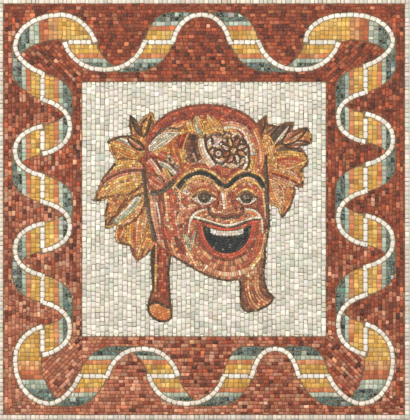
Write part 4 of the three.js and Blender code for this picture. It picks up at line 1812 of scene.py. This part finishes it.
@dataclass
class Bed(Assembly):
    """The mortar: the slab that carries everything, and the bed that rises between the stones.

    cell is the size of the bed's grid, inset how far its edge lies inside the panel's, and sunk how far its back
    reaches into the slab. waves are heights, lengths and seeds of its unevenness. stains are the colours of
    the mortar near packed areas, named by how their nodes' names start, taken within smear millimetres.
    """

    cell: float = 5.0
    inset: float = 0.6
    sunk: float = 0.4
    waves: tuple[tuple[float, float, int], ...] = ((0.2, 23.0, 3), (0.15, 9.0, 4))
    smear: float = 2.0
    pale: Colour = (120, 108, 80)
    stains: tuple[tuple[tuple[str, ...], Colour], ...] = (
        (("ground",), (112, 58, 38)), (("ribbon",), (134, 112, 80)), (("mask", "leaves", "strap"), (116, 78, 55)),
        (("mask_mouth", "mask_brows"), (44, 42, 38)),
    )

    def build(self) -> bpy.types.Object:
        """Builds the bed between the stones.

        Its front is a grid over the whole panel that rises and falls by slow noise; four side walls and a
        back close it.

        Returns:
            The bed's object.
        """
        half_u, half_v = LAYOUT.half_width - self.inset, LAYOUT.half_height - self.inset
        u = np.linspace(-half_u, half_u, round(2 * half_u / self.cell) + 1)
        v = np.linspace(-half_v, half_v, round(2 * half_v / self.cell) + 1)
        face = np.stack(np.meshgrid(u, v), axis=-1)
        waves = (height * (slow_noise(face, scale, seed) - 0.5) for height, scale, seed in self.waves)
        depth = sum(waves, start=LAYOUT.mortar_front)
        front, back = (
            np.stack([face[..., 0], place, face[..., 1]], axis=-1).reshape(-1, 3)
            for place in (-depth, np.full(depth.shape, -LAYOUT.slab_front + self.sunk))
        )
        total = depth.size
        index = np.arange(total).reshape(depth.shape)
        rim = np.concatenate([index[0, :-1], index[:-1, -1], index[-1, :0:-1], index[:0:-1, 0]])
        after = np.roll(rim, -1)
        quads = np.stack([index[:-1, :-1], index[:-1, 1:], index[1:, 1:], index[1:, :-1]], axis=-1).reshape(-1, 4)
        walls = np.stack([after, rim, rim + total, after + total], axis=1)
        faces = np.concatenate([quads, quads[:, ::-1] + total, walls])
        mesh = bpy.data.meshes.new("mortar_bed")
        mesh.from_pydata((np.concatenate([front, back]) * MM).tolist(), [], faces.tolist())
        mesh.update()
        bed = placed("mortar_bed", mesh, "bed", np.tile(self.tint(face.reshape(-1, 2)), (2, 1)))
        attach(bed, "root")
        LOG.info("mortar_bed: %d faces", len(faces))
        return bed

    def tint(self, points: Array) -> Array:
        """The mortar's colour: pale, blended to each area's own by its share of nine nearby places.

        Args:
            points: the points to colour, (n, 2).

        Returns:
            Linear colours with alpha, (n, 4).
        """
        colour = np.tile(linear(self.pale), (len(points), 1))
        ways = [-self.smear, 0, self.smear]
        offsets = np.stack(np.meshgrid(ways, ways), axis=-1).reshape(-1, 2)
        for prefixes, stain in self.stains:
            area = self.model.area(PANEL, *(node for node in self.model.nodes if node.startswith(prefixes)))
            near = sum(PANEL.sample(area, points + offset) / len(offsets) for offset in offsets)[:, None]
            colour += (linear(stain) - colour) * near
        return np.concatenate([colour, np.ones((len(points), 1))], axis=1)

    def dress(self, bed: bpy.types.Object, slab: bpy.types.Object) -> None:
        """Gives the bed and the slab their cement.

        Args:
            bed: the bed's object.
            slab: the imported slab.
        """
        bed.data.materials.append(MortarFinish("joint_mortar", self.pale, tinted=True).material())
        slab.data.materials.clear()
        slab.data.materials.append(MortarFinish("slab_mortar", (168, 162, 150), grit=1.6).material())


@dataclass(frozen=True)
class Studio:
    """A plain pale floor, soft light and the camera, in metres.

    The camera looks straight at the panel from a distance, aims at (x, z), and sees view_width at the stones'
    front. Each lamp has its name, place, size and power.
    """

    distance: float = 3.2
    view_width: float = 0.854
    sensor: float = 36.0
    aim: Point = (0.0021, -0.0017)
    floor_half: float = 6.0
    floor_gap: float = 0.0005
    air: float = 0.62
    lamps: tuple[tuple[str, tuple[float, float, float], float, float], ...] = (
        ("key_light", (-2.6, -3.6, 1.5), 2.0, 90.0),
        ("fill_light", (2.9, -3.7, 0.8), 2.2, 57.0),
    )

    def build(self) -> None:
        """Builds the floor, the lights and the camera."""
        self.floor()
        world = bpy.data.worlds.new("studio_air")
        bpy.context.scene.world = world
        world.use_nodes = True
        background = world.node_tree.nodes["Background"]
        background.inputs["Color"].default_value = (1.0, 1.0, 1.0, 1.0)
        background.inputs["Strength"].default_value = self.air
        for name, place, size, power in self.lamps:
            self.lamp(name, place, size, power)
        lens = bpy.data.cameras.new("camera")
        lens.sensor_fit, lens.sensor_width = "HORIZONTAL", self.sensor
        lens.lens = self.sensor * (self.distance - LAYOUT.stone_front * MM) / self.view_width
        camera = bpy.data.objects.new("camera", lens)
        camera.location = (self.aim[0], -self.distance, self.aim[1])
        camera.rotation_euler = (np.pi / 2, 0.0, 0.0)
        bpy.context.scene.collection.objects.link(camera)
        bpy.context.scene.camera = camera
        bpy.context.scene.view_settings.view_transform = "Standard"

    def floor(self) -> None:
        """Lays a pale square just under the panel."""
        size, level = self.floor_half, -LAYOUT.half_height * MM - self.floor_gap
        corners = [(x * size, y * size, level) for x, y in ((-1, -1), (1, -1), (1, 1), (-1, 1))]
        mesh = bpy.data.meshes.new("studio_floor")
        mesh.from_pydata(corners, [], [(0, 1, 2, 3)])
        floor = bpy.data.objects.new("studio_floor", mesh)
        bpy.context.scene.collection.objects.link(floor)
        mesh.materials.append(Graph("studio_floor").surface(Base_Color=(0.8, 0.79, 0.77, 1.0), Roughness=0.8))

    def lamp(self, name: str, place: tuple[float, float, float], size: float, power: float) -> None:
        """Hangs a square soft light that faces the panel's middle.

        Args:
            name: its name.
            place: where it hangs.
            size: the length of its side.
            power: its power in watts.
        """
        light = bpy.data.lights.new(name, "AREA")
        light.size, light.energy = size, power
        lamp = bpy.data.objects.new(name, light)
        lamp.location = place
        x, y, z = place
        lamp.rotation_euler = (np.arctan2(np.hypot(x, y), z), 0.0, np.arctan2(x, -y))
        bpy.context.scene.collection.objects.link(lamp)


def main() -> None:
    """Builds the panel's parts in order and reports each piece."""
    logging.basicConfig(level=logging.INFO, format="%(message)s")
    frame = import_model()
    model = PackedModel(frame["nodes"])
    materials: dict[Marble, bpy.types.Material] = {}
    Studio().build()
    bed = Bed(model, 1, materials)
    bed.dress(bed.build(), frame["nodes"]["mortar_slab"])
    for seed, part in enumerate((EdgeRow, Ground, Ribbon, WhiteField, Mask), 2):
        part(model, seed, materials).build()


if __name__ == "__main__":
    main()
